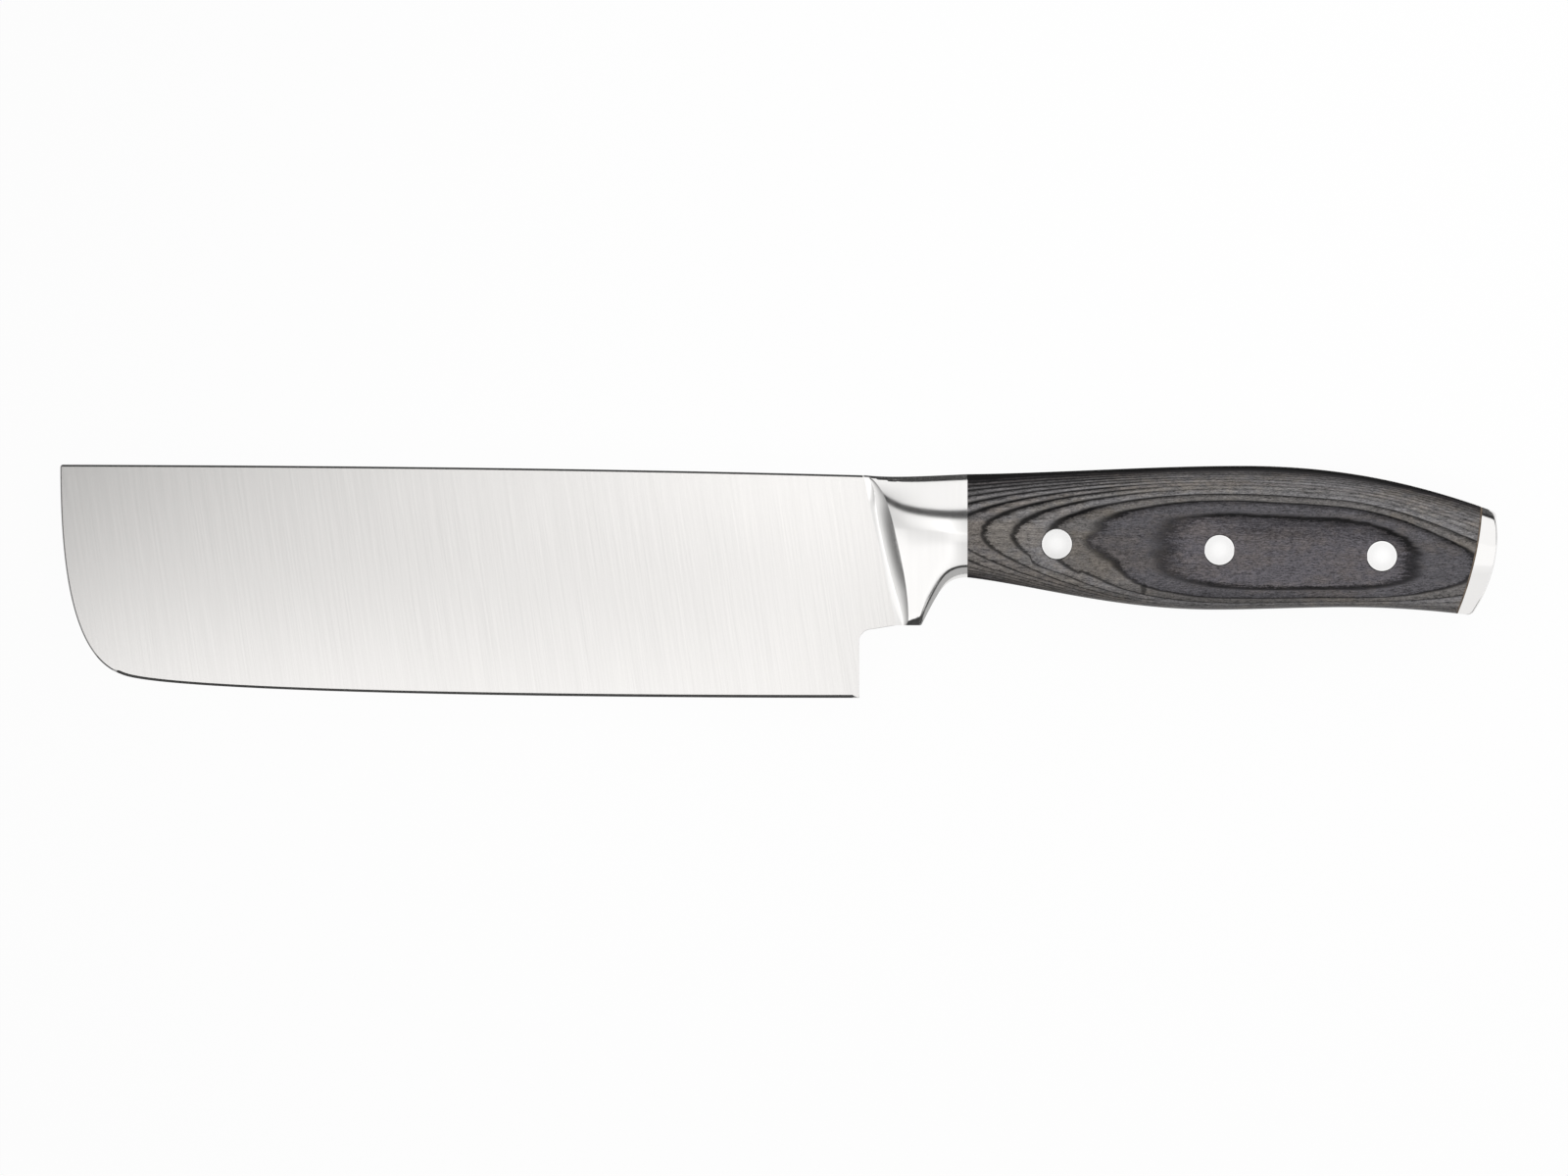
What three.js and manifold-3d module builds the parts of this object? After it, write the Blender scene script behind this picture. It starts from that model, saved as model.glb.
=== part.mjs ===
// Nakiri knife lying on its side: a forged blade, bolster and full tang in one piece, two laminated
// wood scales, a steel butt cap and three two-part cutlery rivets.
// Millimetres. +X runs from tip to butt, +Y towards the spine, +Z out of the side that faces up.
// While it is built, x = 0 is the front face of the scales, y = 0 the crown line there and z = 0 the
// middle plane. At the end the whole knife is set down with its lowest point on z = 0.

import * as THREE from 'three';
import { LoftGeometry } from 'three/addons/geometries/LoftGeometry.js';
import { mergeVertices } from 'three/addons/utils/BufferGeometryUtils.js';
import Module from 'manifold-3d';

const wasm = await Module();
wasm.setup();

// Blade, seen from the side
const bladeLength = 180; // along the spine, from the tip to the bolster's shoulder
const spineRise = 2.4; // the spine at the tip above the spine at the shoulder
const heelDepth = 36.5; // the cutting edge at the heel, below the crown line
const bellyRise = 5.3; // the edge where the tip's curve starts, above the edge at the heel
const tipCurveLength = 13.6; // how far the tip's curve runs along the edge
const tipFullness = 15.5; // how far the tip's curve keeps upright above its lower end

// Blade, seen along the spine
const spineThickness = 2.4; // at the shoulder
const edgeThickness = 0.7; // behind the ground bevel, at the heel
const distalTaper = 0.4; // thickness lost between the shoulder and the tip
const bevelHeight = 0.7;
const edgeLand = 0.08; // thickness left at the cutting edge

// Heel notch and bolster
const bolsterLength = 22.4; // along the spine, from the shoulder to the scales
const shoulderHeight = 13.15;
const spineDip = 0.7; // hollow in the spine over the bolster
const heelSetback = 24.1; // from the heel's back edge to the scales
const notchRadius = 2.8;
const notchRise = 0.9; // the neck's underside rises this much from the notch to the guard
const guardDepth = 20.3; // the guard's lower end, below the crown line
const guardFront = 15.8; // where the blade's face starts to sweep up, at the guard's lower end
const guardBack = 10.3; // the guard's lower back corner
const sweepRadius = 4.0; // hollow sweep between the blade's face and the bolster's face
const sweepLead = 0.8; // the sweep starts this far ahead of the shoulder at the spine
const guardHalfThickness = 2.2; // the bolster's face, run on to the line where the sweep starts
const guardCrown = 1.8; // height of the bolster's crown on that line
const guardFoot = 0.78; // half thickness of the guard's lower edge
const faceFullness = 2.35; // exponent: how soon the bolster's face swells behind that line
const bellyGrowth = 2.6; // exponent: how late its lower half takes on the handle's roundness

// Handle, seen from the side
const handleLength = 118.1;
const frontTop = 13.4;
const frontBottom = 9.6;
const crestAt = 61;
const crestHeight = 15.25;
const bellyAt = 55;
const bellyDepth = 16.8;
const buttTop = 4.85; // the upper edge at the butt
const buttDepth = 18.8; // the lower edge at the butt
const waistRise = 2.1; // lifts the lower edge between the belly and the butt
const buttSlant = 5.6; // the lower corner lies this far ahead of the butt's rearmost point
const buttRadius = 31;
const buttCorner = 1.2;
const crownFall = 7.0; // the crown line at the butt, below the crown line at the front

// Handle, seen from above
const frontHalfThickness = 7.0;
const crownHalfThickness = 9.35;
const buttHalfThickness = 8.5;
const flatFrom = 60; // the crown is truly flat between these two stations
const flatTo = 84;
const crownFlat = 5; // width of that flat
const crownRidge = 0.6; // width left of it at the two ends of the handle
const tangThickness = 3.0;

// Butt cap
const capLength = 3.0; // at the rearmost point of its front face
const capFaceRadius = 78.7;
const capFaceCentre = 12.1; // height of that point above the crown line at the front
const capGap = 0.3; // glue and solder line ahead of the cap
const tenonLength = 2.0; // past the cap's front face
const tenonHeight = 9;
const tenonDrop = 5.5; // its middle, below the crown line at the front
const tenonClearance = 0.3;

// Rivets, each a socket half with a tube and a pin half that is driven into it
const rivetFront = 19.9; // from the scales' front face to the first rivet
const rivetPitch = 36.2;
const rivetNames = [ 'front', 'middle', 'rear' ];
const rivetDrop = 1.45; // the first rivet below the crown line at the front
const rivetFall = 0.037; // slope of the row of rivets
const rivetHead = 6.6;
const rivetHeadDepth = 2.6;
const rivetTube = 4.6;
const rivetPin = 3.0;
const rivetClearance = 0.1; // radial
const rivetEndGap = 0.6; // at the end of the tube and of the pin

// Shape of the handle's sections: exponents of a superellipse
const endSquareness = 2.0; // across the section, at the two ends of the handle
const midSquareness = 3.2; // across the section, at its middle
const endShoulder = 2.0; // roundness of the upper half, at the ends
const midShoulder = 1.5;
const endBelly = 4.4; // roundness of the lower half, at the ends
const midBelly = 6.3;
const guardShoulder = 1.35; // roundness of the upper half where the sweep starts
const guardBelly = 0.88; // roundness of the lower half there

// Fineness of the facets
const quarterSteps = 7;
const handleSteps = 10;
const neckSteps = 6;
const sweepSteps = 9;
const bolsterSteps = 7;
const bladeSteps = 14;
const roundSides = 32;
const bisections = 40; // when a curve's height at one x is looked up
const weldTolerance = 1e-5; // shared corners closer than this are one

// Derived places
const shoulderX = - bolsterLength;
const tipX = shoulderX - bladeLength;
const heelX = - heelSetback;
const tangHalf = tangThickness / 2;
const notchTop = guardDepth + notchRise;
const sweepTopX = shoulderX - sweepLead;
const tipCurveX = tipX + tipCurveLength;
const tipCurveY = bellyRise - heelDepth;

// Outline curves

function curve( ...points ) {

	return new THREE.CubicBezierCurve( ...points.map( ( [ x, y ] ) => new THREE.Vector2( x, y ) ) );

}

const spineCurve = curve(
	[ tipX, shoulderHeight + spineRise ],
	[ tipX + bladeLength / 3, shoulderHeight + spineRise * 0.92 ],
	[ tipX + bladeLength * 2 / 3, shoulderHeight + spineRise * 0.68 ],
	[ shoulderX, shoulderHeight ]
);

const tipCurve = curve(
	[ tipX, shoulderHeight + spineRise ],
	[ tipX, tipCurveY + tipFullness * 1.5 ],
	[ tipX + tipCurveLength * 0.2, tipCurveY + tipFullness * 0.24 ],
	[ tipCurveX, tipCurveY ]
);

const edgeCurve = curve(
	[ tipCurveX, tipCurveY ],
	[ tipCurveX + tipCurveLength * 0.58, tipCurveY - bellyRise * 0.76 ],
	[ tipX + bladeLength * 0.62, - heelDepth ],
	[ heelX, - heelDepth ]
);

const bolsterTopCurve = curve(
	[ shoulderX, shoulderHeight ],
	[ shoulderX * 0.72, shoulderHeight - spineDip ],
	[ shoulderX * 0.28, frontTop - spineDip * 0.3 ],
	[ 0, frontTop ]
);

const fingerCurve = curve(
	[ - guardBack, - guardDepth ],
	[ - guardBack * 0.63, - frontBottom - ( guardDepth - frontBottom ) * 0.32 ],
	[ - guardBack * 0.52, - frontBottom ],
	[ 0, - frontBottom ]
);

const handleTopCurves = [
	curve(
		[ 0, frontTop ],
		[ crestAt / 3, frontTop + ( crestHeight - frontTop ) * 0.15 ],
		[ crestAt * 2 / 3, crestHeight ],
		[ crestAt, crestHeight ]
	),
	curve(
		[ crestAt, crestHeight ],
		[ crestAt + ( handleLength - crestAt ) * 0.35, crestHeight ],
		[ crestAt + ( handleLength - crestAt ) * 0.65, buttTop + ( crestHeight - buttTop ) * 0.71 ],
		[ handleLength, buttTop ]
	)
];

const handleBottomCurves = [
	curve(
		[ 0, - frontBottom ],
		[ bellyAt * 0.27, - frontBottom - ( bellyDepth - frontBottom ) * 0.24 ],
		[ bellyAt * 0.6, - bellyDepth ],
		[ bellyAt, - bellyDepth ]
	),
	curve(
		[ bellyAt, - bellyDepth ],
		[ bellyAt + ( handleLength - bellyAt ) * 0.33, - bellyDepth ],
		[ bellyAt + ( handleLength - bellyAt ) * 0.55, - bellyDepth + waistRise ],
		[ handleLength, - buttDepth ]
	)
];

// Height of a chain of outline curves at x, each curve running in +X

function heightAt( curves, x ) {

	const last = curves[ curves.length - 1 ];
	const found = curves.find( ( one ) => x <= one.v3.x ) ?? last;
	let low = 0;
	let high = 1;

	for ( let pass = 0; pass < bisections; pass ++ ) {

		const middle = ( low + high ) / 2;

		if ( found.getPoint( middle ).x < x ) low = middle;
		else high = middle;

	}

	return found.getPoint( low ).y;

}

// Small numeric helpers

function mix( from, to, share ) {

	return from + ( to - from ) * share;

}

function steps( from, to, count ) {

	return Array.from( { length: count + 1 }, ( _, i ) => mix( from, to, i / count ) );

}

// Half thickness of the blade: both faces are planes that taper from spine to edge and to the tip

function bladeHalf( x, y ) {

	const up = ( y + heelDepth ) / ( shoulderHeight + heelDepth );
	const out = ( shoulderX - x ) / bladeLength;
	return ( mix( edgeThickness, spineThickness, up ) - distalTaper * out ) / 2;

}

// Handle section at x: its limits, its crown and its roundness

function handleSection( x ) {

	const along = THREE.MathUtils.clamp( x, 0, handleLength );
	const ahead = Math.min( along / flatFrom, 1 );
	const behind = Math.max( ( along - flatTo ) / ( handleLength - flatTo ), 0 );
	const swell = THREE.MathUtils.smoothstep( ahead, 0, 1 ) * THREE.MathUtils.smoothstep( 1 - behind, 0, 1 );
	const rise = ( crownHalfThickness - frontHalfThickness ) * ( 1 - ( 1 - ahead ) ** 2 );
	return {
		top: heightAt( handleTopCurves, along ),
		bottom: heightAt( handleBottomCurves, along ),
		crown: - crownFall * along / handleLength,
		half: frontHalfThickness + rise - ( crownHalfThickness - buttHalfThickness ) * behind ** 2,
		flat: mix( crownRidge, crownFlat, swell ) / 2,
		land: tangHalf,
		foot: tangHalf,
		across: mix( endSquareness, midSquareness, swell ),
		shoulder: mix( endShoulder, midShoulder, swell ),
		belly: mix( endBelly, midBelly, swell )
	};

}

// Upper side of a section, from its top edge over the crown to its bottom edge, as [ y, z ] pairs

function sectionSide( section ) {

	const quarter = steps( 0, Math.PI / 2, quarterSteps );
	const swing = ( angle, reach, roundness, land ) => {

		const out = section.flat + ( reach - section.flat ) * Math.sin( angle ) ** ( 2 / section.across );
		const lift = Math.max( Math.cos( angle ), 0 ) ** ( 2 / roundness );
		return [ out, mix( land, section.half, lift ) ];

	};

	const above = quarter.toReversed().map( ( angle ) => {

		const [ out, z ] = swing( angle, section.top - section.crown, section.shoulder, section.land );
		return [ section.crown + out, z ];

	} );
	const below = quarter.map( ( angle ) => {

		const [ out, z ] = swing( angle, section.crown - section.bottom, section.belly, section.foot );
		return [ section.crown - out, z ];

	} );
	return above.concat( below );

}

// Solids and booleans

function solidOf( geometry ) {

	const bare = new THREE.BufferGeometry().copy( geometry );
	bare.deleteAttribute( 'normal' );
	bare.deleteAttribute( 'uv' );
	const merged = mergeVertices( bare, weldTolerance );
	return new wasm.Manifold( new wasm.Mesh( {
		numProp: 3,
		vertProperties: new Float32Array( merged.attributes.position.array ),
		triVerts: new Uint32Array( merged.index.array )
	} ) );

}

function geometryOf( solid ) {

	const { vertProperties, triVerts } = solid.getMesh();
	const geometry = new THREE.BufferGeometry();
	geometry.setAttribute( 'position', new THREE.BufferAttribute( vertProperties, 3 ) );
	geometry.setIndex( new THREE.BufferAttribute( triVerts, 1 ) );
	geometry.computeVertexNormals();
	return geometry;

}

function loft( sections ) {

	return solidOf( new LoftGeometry( sections, { capStart: true, capEnd: true } ) );

}

// A flat outline given a thickness, centred on the middle plane

function slab( shape, thickness ) {

	const options = { depth: thickness, bevelEnabled: false, curveSegments: roundSides };
	const geometry = new THREE.ExtrudeGeometry( shape, options );
	geometry.translate( 0, 0, - thickness / 2 );
	return solidOf( geometry );

}

// A turned piece standing along Z at a rivet's place, from [ radius, z ] pairs

function turned( profile, place ) {

	const points = profile.map( ( [ radius, z ] ) => new THREE.Vector2( radius, z ) );
	const geometry = new THREE.LatheGeometry( points, roundSides );
	geometry.rotateX( Math.PI / 2 );
	geometry.translate( place.x, place.y, 0 );
	return solidOf( geometry );

}

// Handle stations: close together in front, exact at both ends of the crown's flat

function handleStations( beyond ) {

	return [
		...steps( 0, flatFrom, handleSteps ),
		...steps( flatFrom, flatTo, 2 ).slice( 1 ),
		...steps( flatTo, handleLength, handleSteps - 4 ).slice( 1 ),
		handleLength + beyond
	];

}

const handleOverrun = 3;

// The handle's whole outer form, tang and scales together

function handleForm() {

	return loft( handleStations( handleOverrun ).map( ( x ) => {

		const side = sectionSide( handleSection( x ) );
		const upper = side.map( ( [ y, z ] ) => new THREE.Vector3( x, y, z ) );
		const lower = side.toReversed().map( ( [ y, z ] ) => new THREE.Vector3( x, y, - z ) );
		return upper.concat( lower );

	} ) );

}

// One half of the form, outside the tang: facing is 1 for the upper side and -1 for the lower side

function scaleForm( facing ) {

	return loft( handleStations( handleOverrun ).map( ( x ) => {

		const side = sectionSide( handleSection( x ) );
		const ordered = facing > 0 ? side : side.toReversed();
		return ordered.map( ( [ y, z ] ) => new THREE.Vector3( x, y, facing * z ) );

	} ) );

}

// Outline of everything from fromX back to the arc of the butt cap's front face, or ahead of it

const outlineReach = 40; // past every edge of the handle
const capReach = 12; // ahead of the rearmost point, past the cap's lower front corner

function zoneAheadOfCap( fromX, ahead ) {

	const centreX = handleLength - capFaceRadius - ahead;
	const lowerAngle = - Math.asin( ( capFaceCentre + outlineReach ) / capFaceRadius );
	const shape = new THREE.Shape();
	shape.moveTo( fromX, - outlineReach );
	shape.lineTo( centreX + capFaceRadius * Math.cos( lowerAngle ), - outlineReach );
	shape.absarc( centreX, capFaceCentre, capFaceRadius, lowerAngle, 0, false );
	shape.lineTo( handleLength - ahead, outlineReach );
	shape.lineTo( fromX, outlineReach );
	return shape;

}

const fullWidth = crownHalfThickness * 4;
const form = handleForm();
const woodZone = slab( zoneAheadOfCap( 0, capLength + capGap ), fullWidth );

// Places of the rivets

const rivets = rivetNames.map( ( name, i ) => {

	const x = rivetFront + rivetPitch * i;
	const y = - rivetDrop - rivetFall * x;
	return { name, x, y, seat: handleSection( x ).half - rivetHeadDepth };

} );

// Blade: stations from the tip's curve along the edge to the heel

const tipShare = 0.1; // the tip's upper end is cut square below this share of its curve
const bevelFrom = 0.6; // the ground bevel fades in between these two shares
const bevelFull = 0.95;

function bladeSolid() {

	const alongTip = ( share ) => ( { at: tipCurve.getPoint( share ), sharp: share } );
	const alongEdge = ( share ) => ( { at: edgeCurve.getPoint( share ), sharp: 1 } );
	const stations = [
		...steps( tipShare, 1, bladeSteps ).map( alongTip ),
		...steps( 0, 1, bladeSteps ).slice( 1 ).map( alongEdge )
	];
	return loft( stations.map( ( { at, sharp } ) => {

		const top = heightAt( [ spineCurve ], at.x );
		const bevel = bevelHeight * sharp;
		const ground = THREE.MathUtils.smoothstep( sharp, bevelFrom, bevelFull );
		const edge = mix( bladeHalf( at.x, at.y ), edgeLand / 2, ground );
		const upper = [
			[ top, bladeHalf( at.x, top ) ],
			[ at.y + bevel, bladeHalf( at.x, at.y + bevel ) ],
			[ at.y, edge ]
		];
		return [
			...upper.map( ( [ y, z ] ) => new THREE.Vector3( at.x, y, z ) ),
			...upper.toReversed().map( ( [ y, z ] ) => new THREE.Vector3( at.x, y, - z ) )
		];

	} ) );

}

// Neck and bolster: every station is a straight line, seen from the side, from the underside to the spine

function undersideAt( x ) {

	if ( x < heelX + notchRadius ) {

		const inside = Math.max( heelX + notchRadius - x, 0 );
		return - notchTop - notchRadius + Math.sqrt( Math.max( notchRadius ** 2 - inside ** 2, 0 ) );

	}

	if ( x < - guardFront ) {

		const share = ( x - heelX - notchRadius ) / ( heelSetback - notchRadius - guardFront );
		return mix( - notchTop, - guardDepth, share );

	}

	return x < - guardBack ? - guardDepth : heightAt( [ fingerCurve ], x );

}

function spineAt( x ) {

	return x < shoulderX ? heightAt( [ spineCurve ], x ) : heightAt( [ bolsterTopCurve ], x );

}

function bolsterSection( share, top, bottom ) {

	const back = handleSection( 0 );
	const ease = 1 - ( 1 - share ) ** faceFullness;
	return {
		top,
		bottom,
		crown: mix( guardCrown, back.crown, share ),
		half: mix( guardHalfThickness, back.half, ease ),
		flat: back.flat,
		land: mix( spineThickness / 2, back.land, share ),
		foot: mix( guardFoot, back.foot, share ),
		across: back.across,
		shoulder: mix( guardShoulder, back.shoulder, share ),
		belly: mix( guardBelly, back.belly, share ** bellyGrowth )
	};

}

// Height of the hollow sweep over the blade's face: a cylinder along the leaning line where it starts

const sweepLean = new THREE.Vector2( sweepTopX + guardFront, shoulderHeight + guardDepth );

function sweepLift( x, y ) {

	const startX = mix( - guardFront, sweepTopX, ( y + guardDepth ) / sweepLean.y );
	const away = ( x - startX ) * sweepLean.y / sweepLean.length();
	if ( away >= sweepRadius ) return fullWidth;
	return sweepRadius - Math.sqrt( sweepRadius ** 2 - Math.max( away, 0 ) ** 2 );

}

// One station between two points of the outline

function bolsterStation( lowX, highX, share ) {

	const low = undersideAt( lowX );
	const high = spineAt( highX );
	const side = sectionSide( bolsterSection( share, high, low ) ).map( ( [ y, z ] ) => {

		const x = mix( lowX, highX, ( y - low ) / ( high - low ) );
		return new THREE.Vector3( x, y, Math.min( z, bladeHalf( x, y ) + sweepLift( x, y ) ) );

	} );
	const under = side.toReversed().map( ( { x, y, z } ) => new THREE.Vector3( x, y, - z ) );
	return side.concat( under );

}

const neckRooting = 2; // how far the neck runs into the blade, and how much it shrinks there
const neckShrink = 0.8;
const notchCrowding = 1.6; // exponent that draws the stations together in the notch's curve
const sweepShare = 0.36; // share of the bolster's length that the sweep and its edge take

function bolsterSolid() {

	const rooted = bolsterStation( heelX, heelX, 0 ).map( ( { x, y, z } ) => {

		return new THREE.Vector3( x - neckRooting, y * neckShrink, z * neckShrink );

	} );
	const neck = steps( 0, 1, neckSteps ).map( ( share ) => {

		const eased = share ** notchCrowding;
		return bolsterStation( mix( heelX, - guardFront, eased ), mix( heelX, sweepTopX, share ), 0 );

	} );
	const shares = [
		...steps( 0, sweepShare, sweepSteps ).slice( 1 ),
		...steps( sweepShare, 1, bolsterSteps ).slice( 1 )
	];
	const face = shares.map( ( share ) => {

		return bolsterStation( - guardFront * ( 1 - share ), sweepTopX * ( 1 - share ), share );

	} );
	return loft( [ rooted, ...neck, ...face ] );

}

// Full tang: flush with the scales above and below, with a tenon for the butt cap

function tenonSolid( clearance ) {

	const half = tenonHeight / 2 + clearance;
	const rootX = handleLength - capReach;
	const shape = new THREE.Shape();
	shape.moveTo( rootX, - tenonDrop - half );
	shape.lineTo( handleLength, - tenonDrop - half );
	shape.lineTo( handleLength, - tenonDrop + half );
	shape.lineTo( rootX, - tenonDrop + half );
	const reach = zoneAheadOfCap( 0, capLength - tenonLength - clearance );
	return slab( shape, tangThickness + clearance * 2 ).intersect( slab( reach, fullWidth ) );

}

function tangSolid() {

	const rooting = 3; // how far the tang runs into the bolster
	const stations = handleStations( handleOverrun );
	const shape = new THREE.Shape();
	shape.moveTo( - rooting, - frontBottom + rooting );
	shape.lineTo( 0, - frontBottom + rooting );
	stations.forEach( ( x ) => shape.lineTo( x, handleSection( x ).bottom ) );
	stations.toReversed().forEach( ( x ) => shape.lineTo( x, handleSection( x ).top ) );
	shape.lineTo( 0, frontTop - rooting );
	shape.lineTo( - rooting, frontTop - rooting );
	const reach = slab( zoneAheadOfCap( - rooting, capLength + capGap ), fullWidth );
	const blank = slab( shape, tangThickness ).intersect( reach );
	return blank.add( tenonSolid( 0 ) );

}

function rivetShaft( place, radius ) {

	const half = [ [ 0, - fullWidth ], [ radius, - fullWidth ] ];
	return turned( [ ...half, [ radius, fullWidth ], [ 0, fullWidth ] ], place );

}

function bladeAndTang() {

	let solid = bladeSolid().add( bolsterSolid() ).add( tangSolid() );
	rivets.forEach( ( place ) => {

		solid = solid.subtract( rivetShaft( place, rivetTube / 2 + rivetClearance ) );

	} );
	return solid;

}

// Scales: bored for the rivets' tubes and counterbored for their heads

function scaleSolid( facing ) {

	let solid = scaleForm( facing ).intersect( woodZone );
	rivets.forEach( ( place ) => {

		const bore = rivetTube / 2 + rivetClearance;
		const counterbore = rivetHead / 2 + rivetClearance;
		const low = [ [ 0, - fullWidth ], [ bore, - fullWidth ], [ bore, place.seat ] ];
		const cutter = [ ...low, [ counterbore, place.seat ], [ counterbore, fullWidth ], [ 0, fullWidth ] ];
		const profile = facing > 0 ? cutter : cutter.map( ( [ radius, z ] ) => [ radius, - z ] ).reverse();
		solid = solid.subtract( turned( profile, place ) );

	} );
	return solid;

}

// Butt cap: the handle's form behind the scales, with a pocket for the tenon

function buttCapSolid() {

	const upperX = handleLength - buttCorner;
	const lowerX = handleLength - buttSlant;
	const lowerY = heightAt( handleBottomCurves, lowerX );
	const rearCentre = handleLength - buttRadius;
	const lowerAngle = - Math.asin( ( - lowerY - buttCorner ) / buttRadius );
	const upperAngle = Math.asin( ( buttTop - buttCorner ) / buttRadius );
	const shape = new THREE.Shape();
	shape.moveTo( handleLength - capReach, - outlineReach );
	shape.lineTo( lowerX - buttCorner, - outlineReach );
	shape.lineTo( lowerX - buttCorner, heightAt( handleBottomCurves, lowerX - buttCorner ) );
	const lowerEnd = [ rearCentre + buttRadius * Math.cos( lowerAngle ), buttRadius * Math.sin( lowerAngle ) ];
	shape.quadraticCurveTo( lowerX, lowerY, ...lowerEnd );
	shape.absarc( rearCentre, 0, buttRadius, lowerAngle, upperAngle, false );
	shape.quadraticCurveTo( handleLength, buttTop, upperX, heightAt( handleTopCurves, upperX ) );
	shape.lineTo( upperX, outlineReach );
	shape.lineTo( handleLength - capReach, outlineReach );
	const ahead = slab( zoneAheadOfCap( 0, capLength ), fullWidth );
	return form.intersect( slab( shape, fullWidth ) ).subtract( ahead ).subtract( tenonSolid( tenonClearance ) );

}

// Rivet halves: heads are ground flush with the scales

function rivetSocket( place ) {

	const bore = rivetPin / 2 + rivetClearance;
	const end = rivetEndGap - place.seat;
	const roof = place.seat - rivetEndGap;
	const profile = [
		[ 0, roof ],
		[ bore, roof ],
		[ bore, end ],
		[ rivetTube / 2, end ],
		[ rivetTube / 2, place.seat ],
		[ rivetHead / 2, place.seat ],
		[ rivetHead / 2, fullWidth ],
		[ 0, fullWidth ]
	];
	return turned( profile, place ).intersect( form );

}

function rivetPinHalf( place ) {

	const profile = [
		[ 0, - fullWidth ],
		[ rivetHead / 2, - fullWidth ],
		[ rivetHead / 2, - place.seat ],
		[ rivetPin / 2, - place.seat ],
		[ rivetPin / 2, place.seat - rivetEndGap * 2 ],
		[ 0, place.seat - rivetEndGap * 2 ]
	];
	return turned( profile, place ).intersect( form );

}

// Materials

function satinSteel() {

	return new THREE.MeshStandardMaterial( { color: 0xcfccc8, roughness: 0.34, metalness: 1 } );

}

function polishedSteel() {

	return new THREE.MeshStandardMaterial( { color: 0xdcdad8, roughness: 0.16, metalness: 1 } );

}

function laminatedWood() {

	return new THREE.MeshStandardMaterial( { color: 0x3c3a3b, roughness: 0.5, metalness: 0 } );

}

// Assembly

const knife = new THREE.Group();

function place( name, solid, material ) {

	const mesh = new THREE.Mesh( geometryOf( solid ), material );
	mesh.name = name;
	knife.add( mesh );

}

place( 'blade_and_tang', bladeAndTang(), satinSteel() );
place( 'scale_left', scaleSolid( 1 ), laminatedWood() );
place( 'scale_right', scaleSolid( - 1 ), laminatedWood() );
place( 'butt_cap', buttCapSolid(), polishedSteel() );
rivets.forEach( ( rivet ) => {

	place( `rivet_${ rivet.name }_socket`, rivetSocket( rivet ), polishedSteel() );
	place( `rivet_${ rivet.name }_pin`, rivetPinHalf( rivet ), polishedSteel() );

} );

// The knife is set down with the middle of its lower side on the origin
const extent = new THREE.Box3().setFromObject( knife );
const middle = extent.getCenter( new THREE.Vector3() );
knife.position.set( - middle.x, - middle.y, - extent.min.z );

export default knife;
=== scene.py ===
import math

import bpy
import numpy as np
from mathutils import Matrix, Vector


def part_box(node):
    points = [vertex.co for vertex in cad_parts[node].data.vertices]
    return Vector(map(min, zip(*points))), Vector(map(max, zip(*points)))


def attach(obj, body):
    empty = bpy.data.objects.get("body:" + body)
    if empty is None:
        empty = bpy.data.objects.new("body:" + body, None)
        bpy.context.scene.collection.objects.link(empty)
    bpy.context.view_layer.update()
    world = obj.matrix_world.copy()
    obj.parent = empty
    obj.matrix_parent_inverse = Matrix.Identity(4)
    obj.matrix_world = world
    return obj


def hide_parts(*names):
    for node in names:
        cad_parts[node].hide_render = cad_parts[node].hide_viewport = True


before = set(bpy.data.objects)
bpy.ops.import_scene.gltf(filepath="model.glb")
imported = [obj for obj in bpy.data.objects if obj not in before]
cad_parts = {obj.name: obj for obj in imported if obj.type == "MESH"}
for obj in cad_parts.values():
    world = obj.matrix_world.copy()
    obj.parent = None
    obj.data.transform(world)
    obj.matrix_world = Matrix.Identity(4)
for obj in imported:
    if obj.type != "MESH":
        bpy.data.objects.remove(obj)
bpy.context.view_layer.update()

# Everything below is worked out in millimetres on the knife's own lines: x from the front face of the
# scales, y from the crown line there, z from the middle plane. setDown puts it into the frame.

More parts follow.
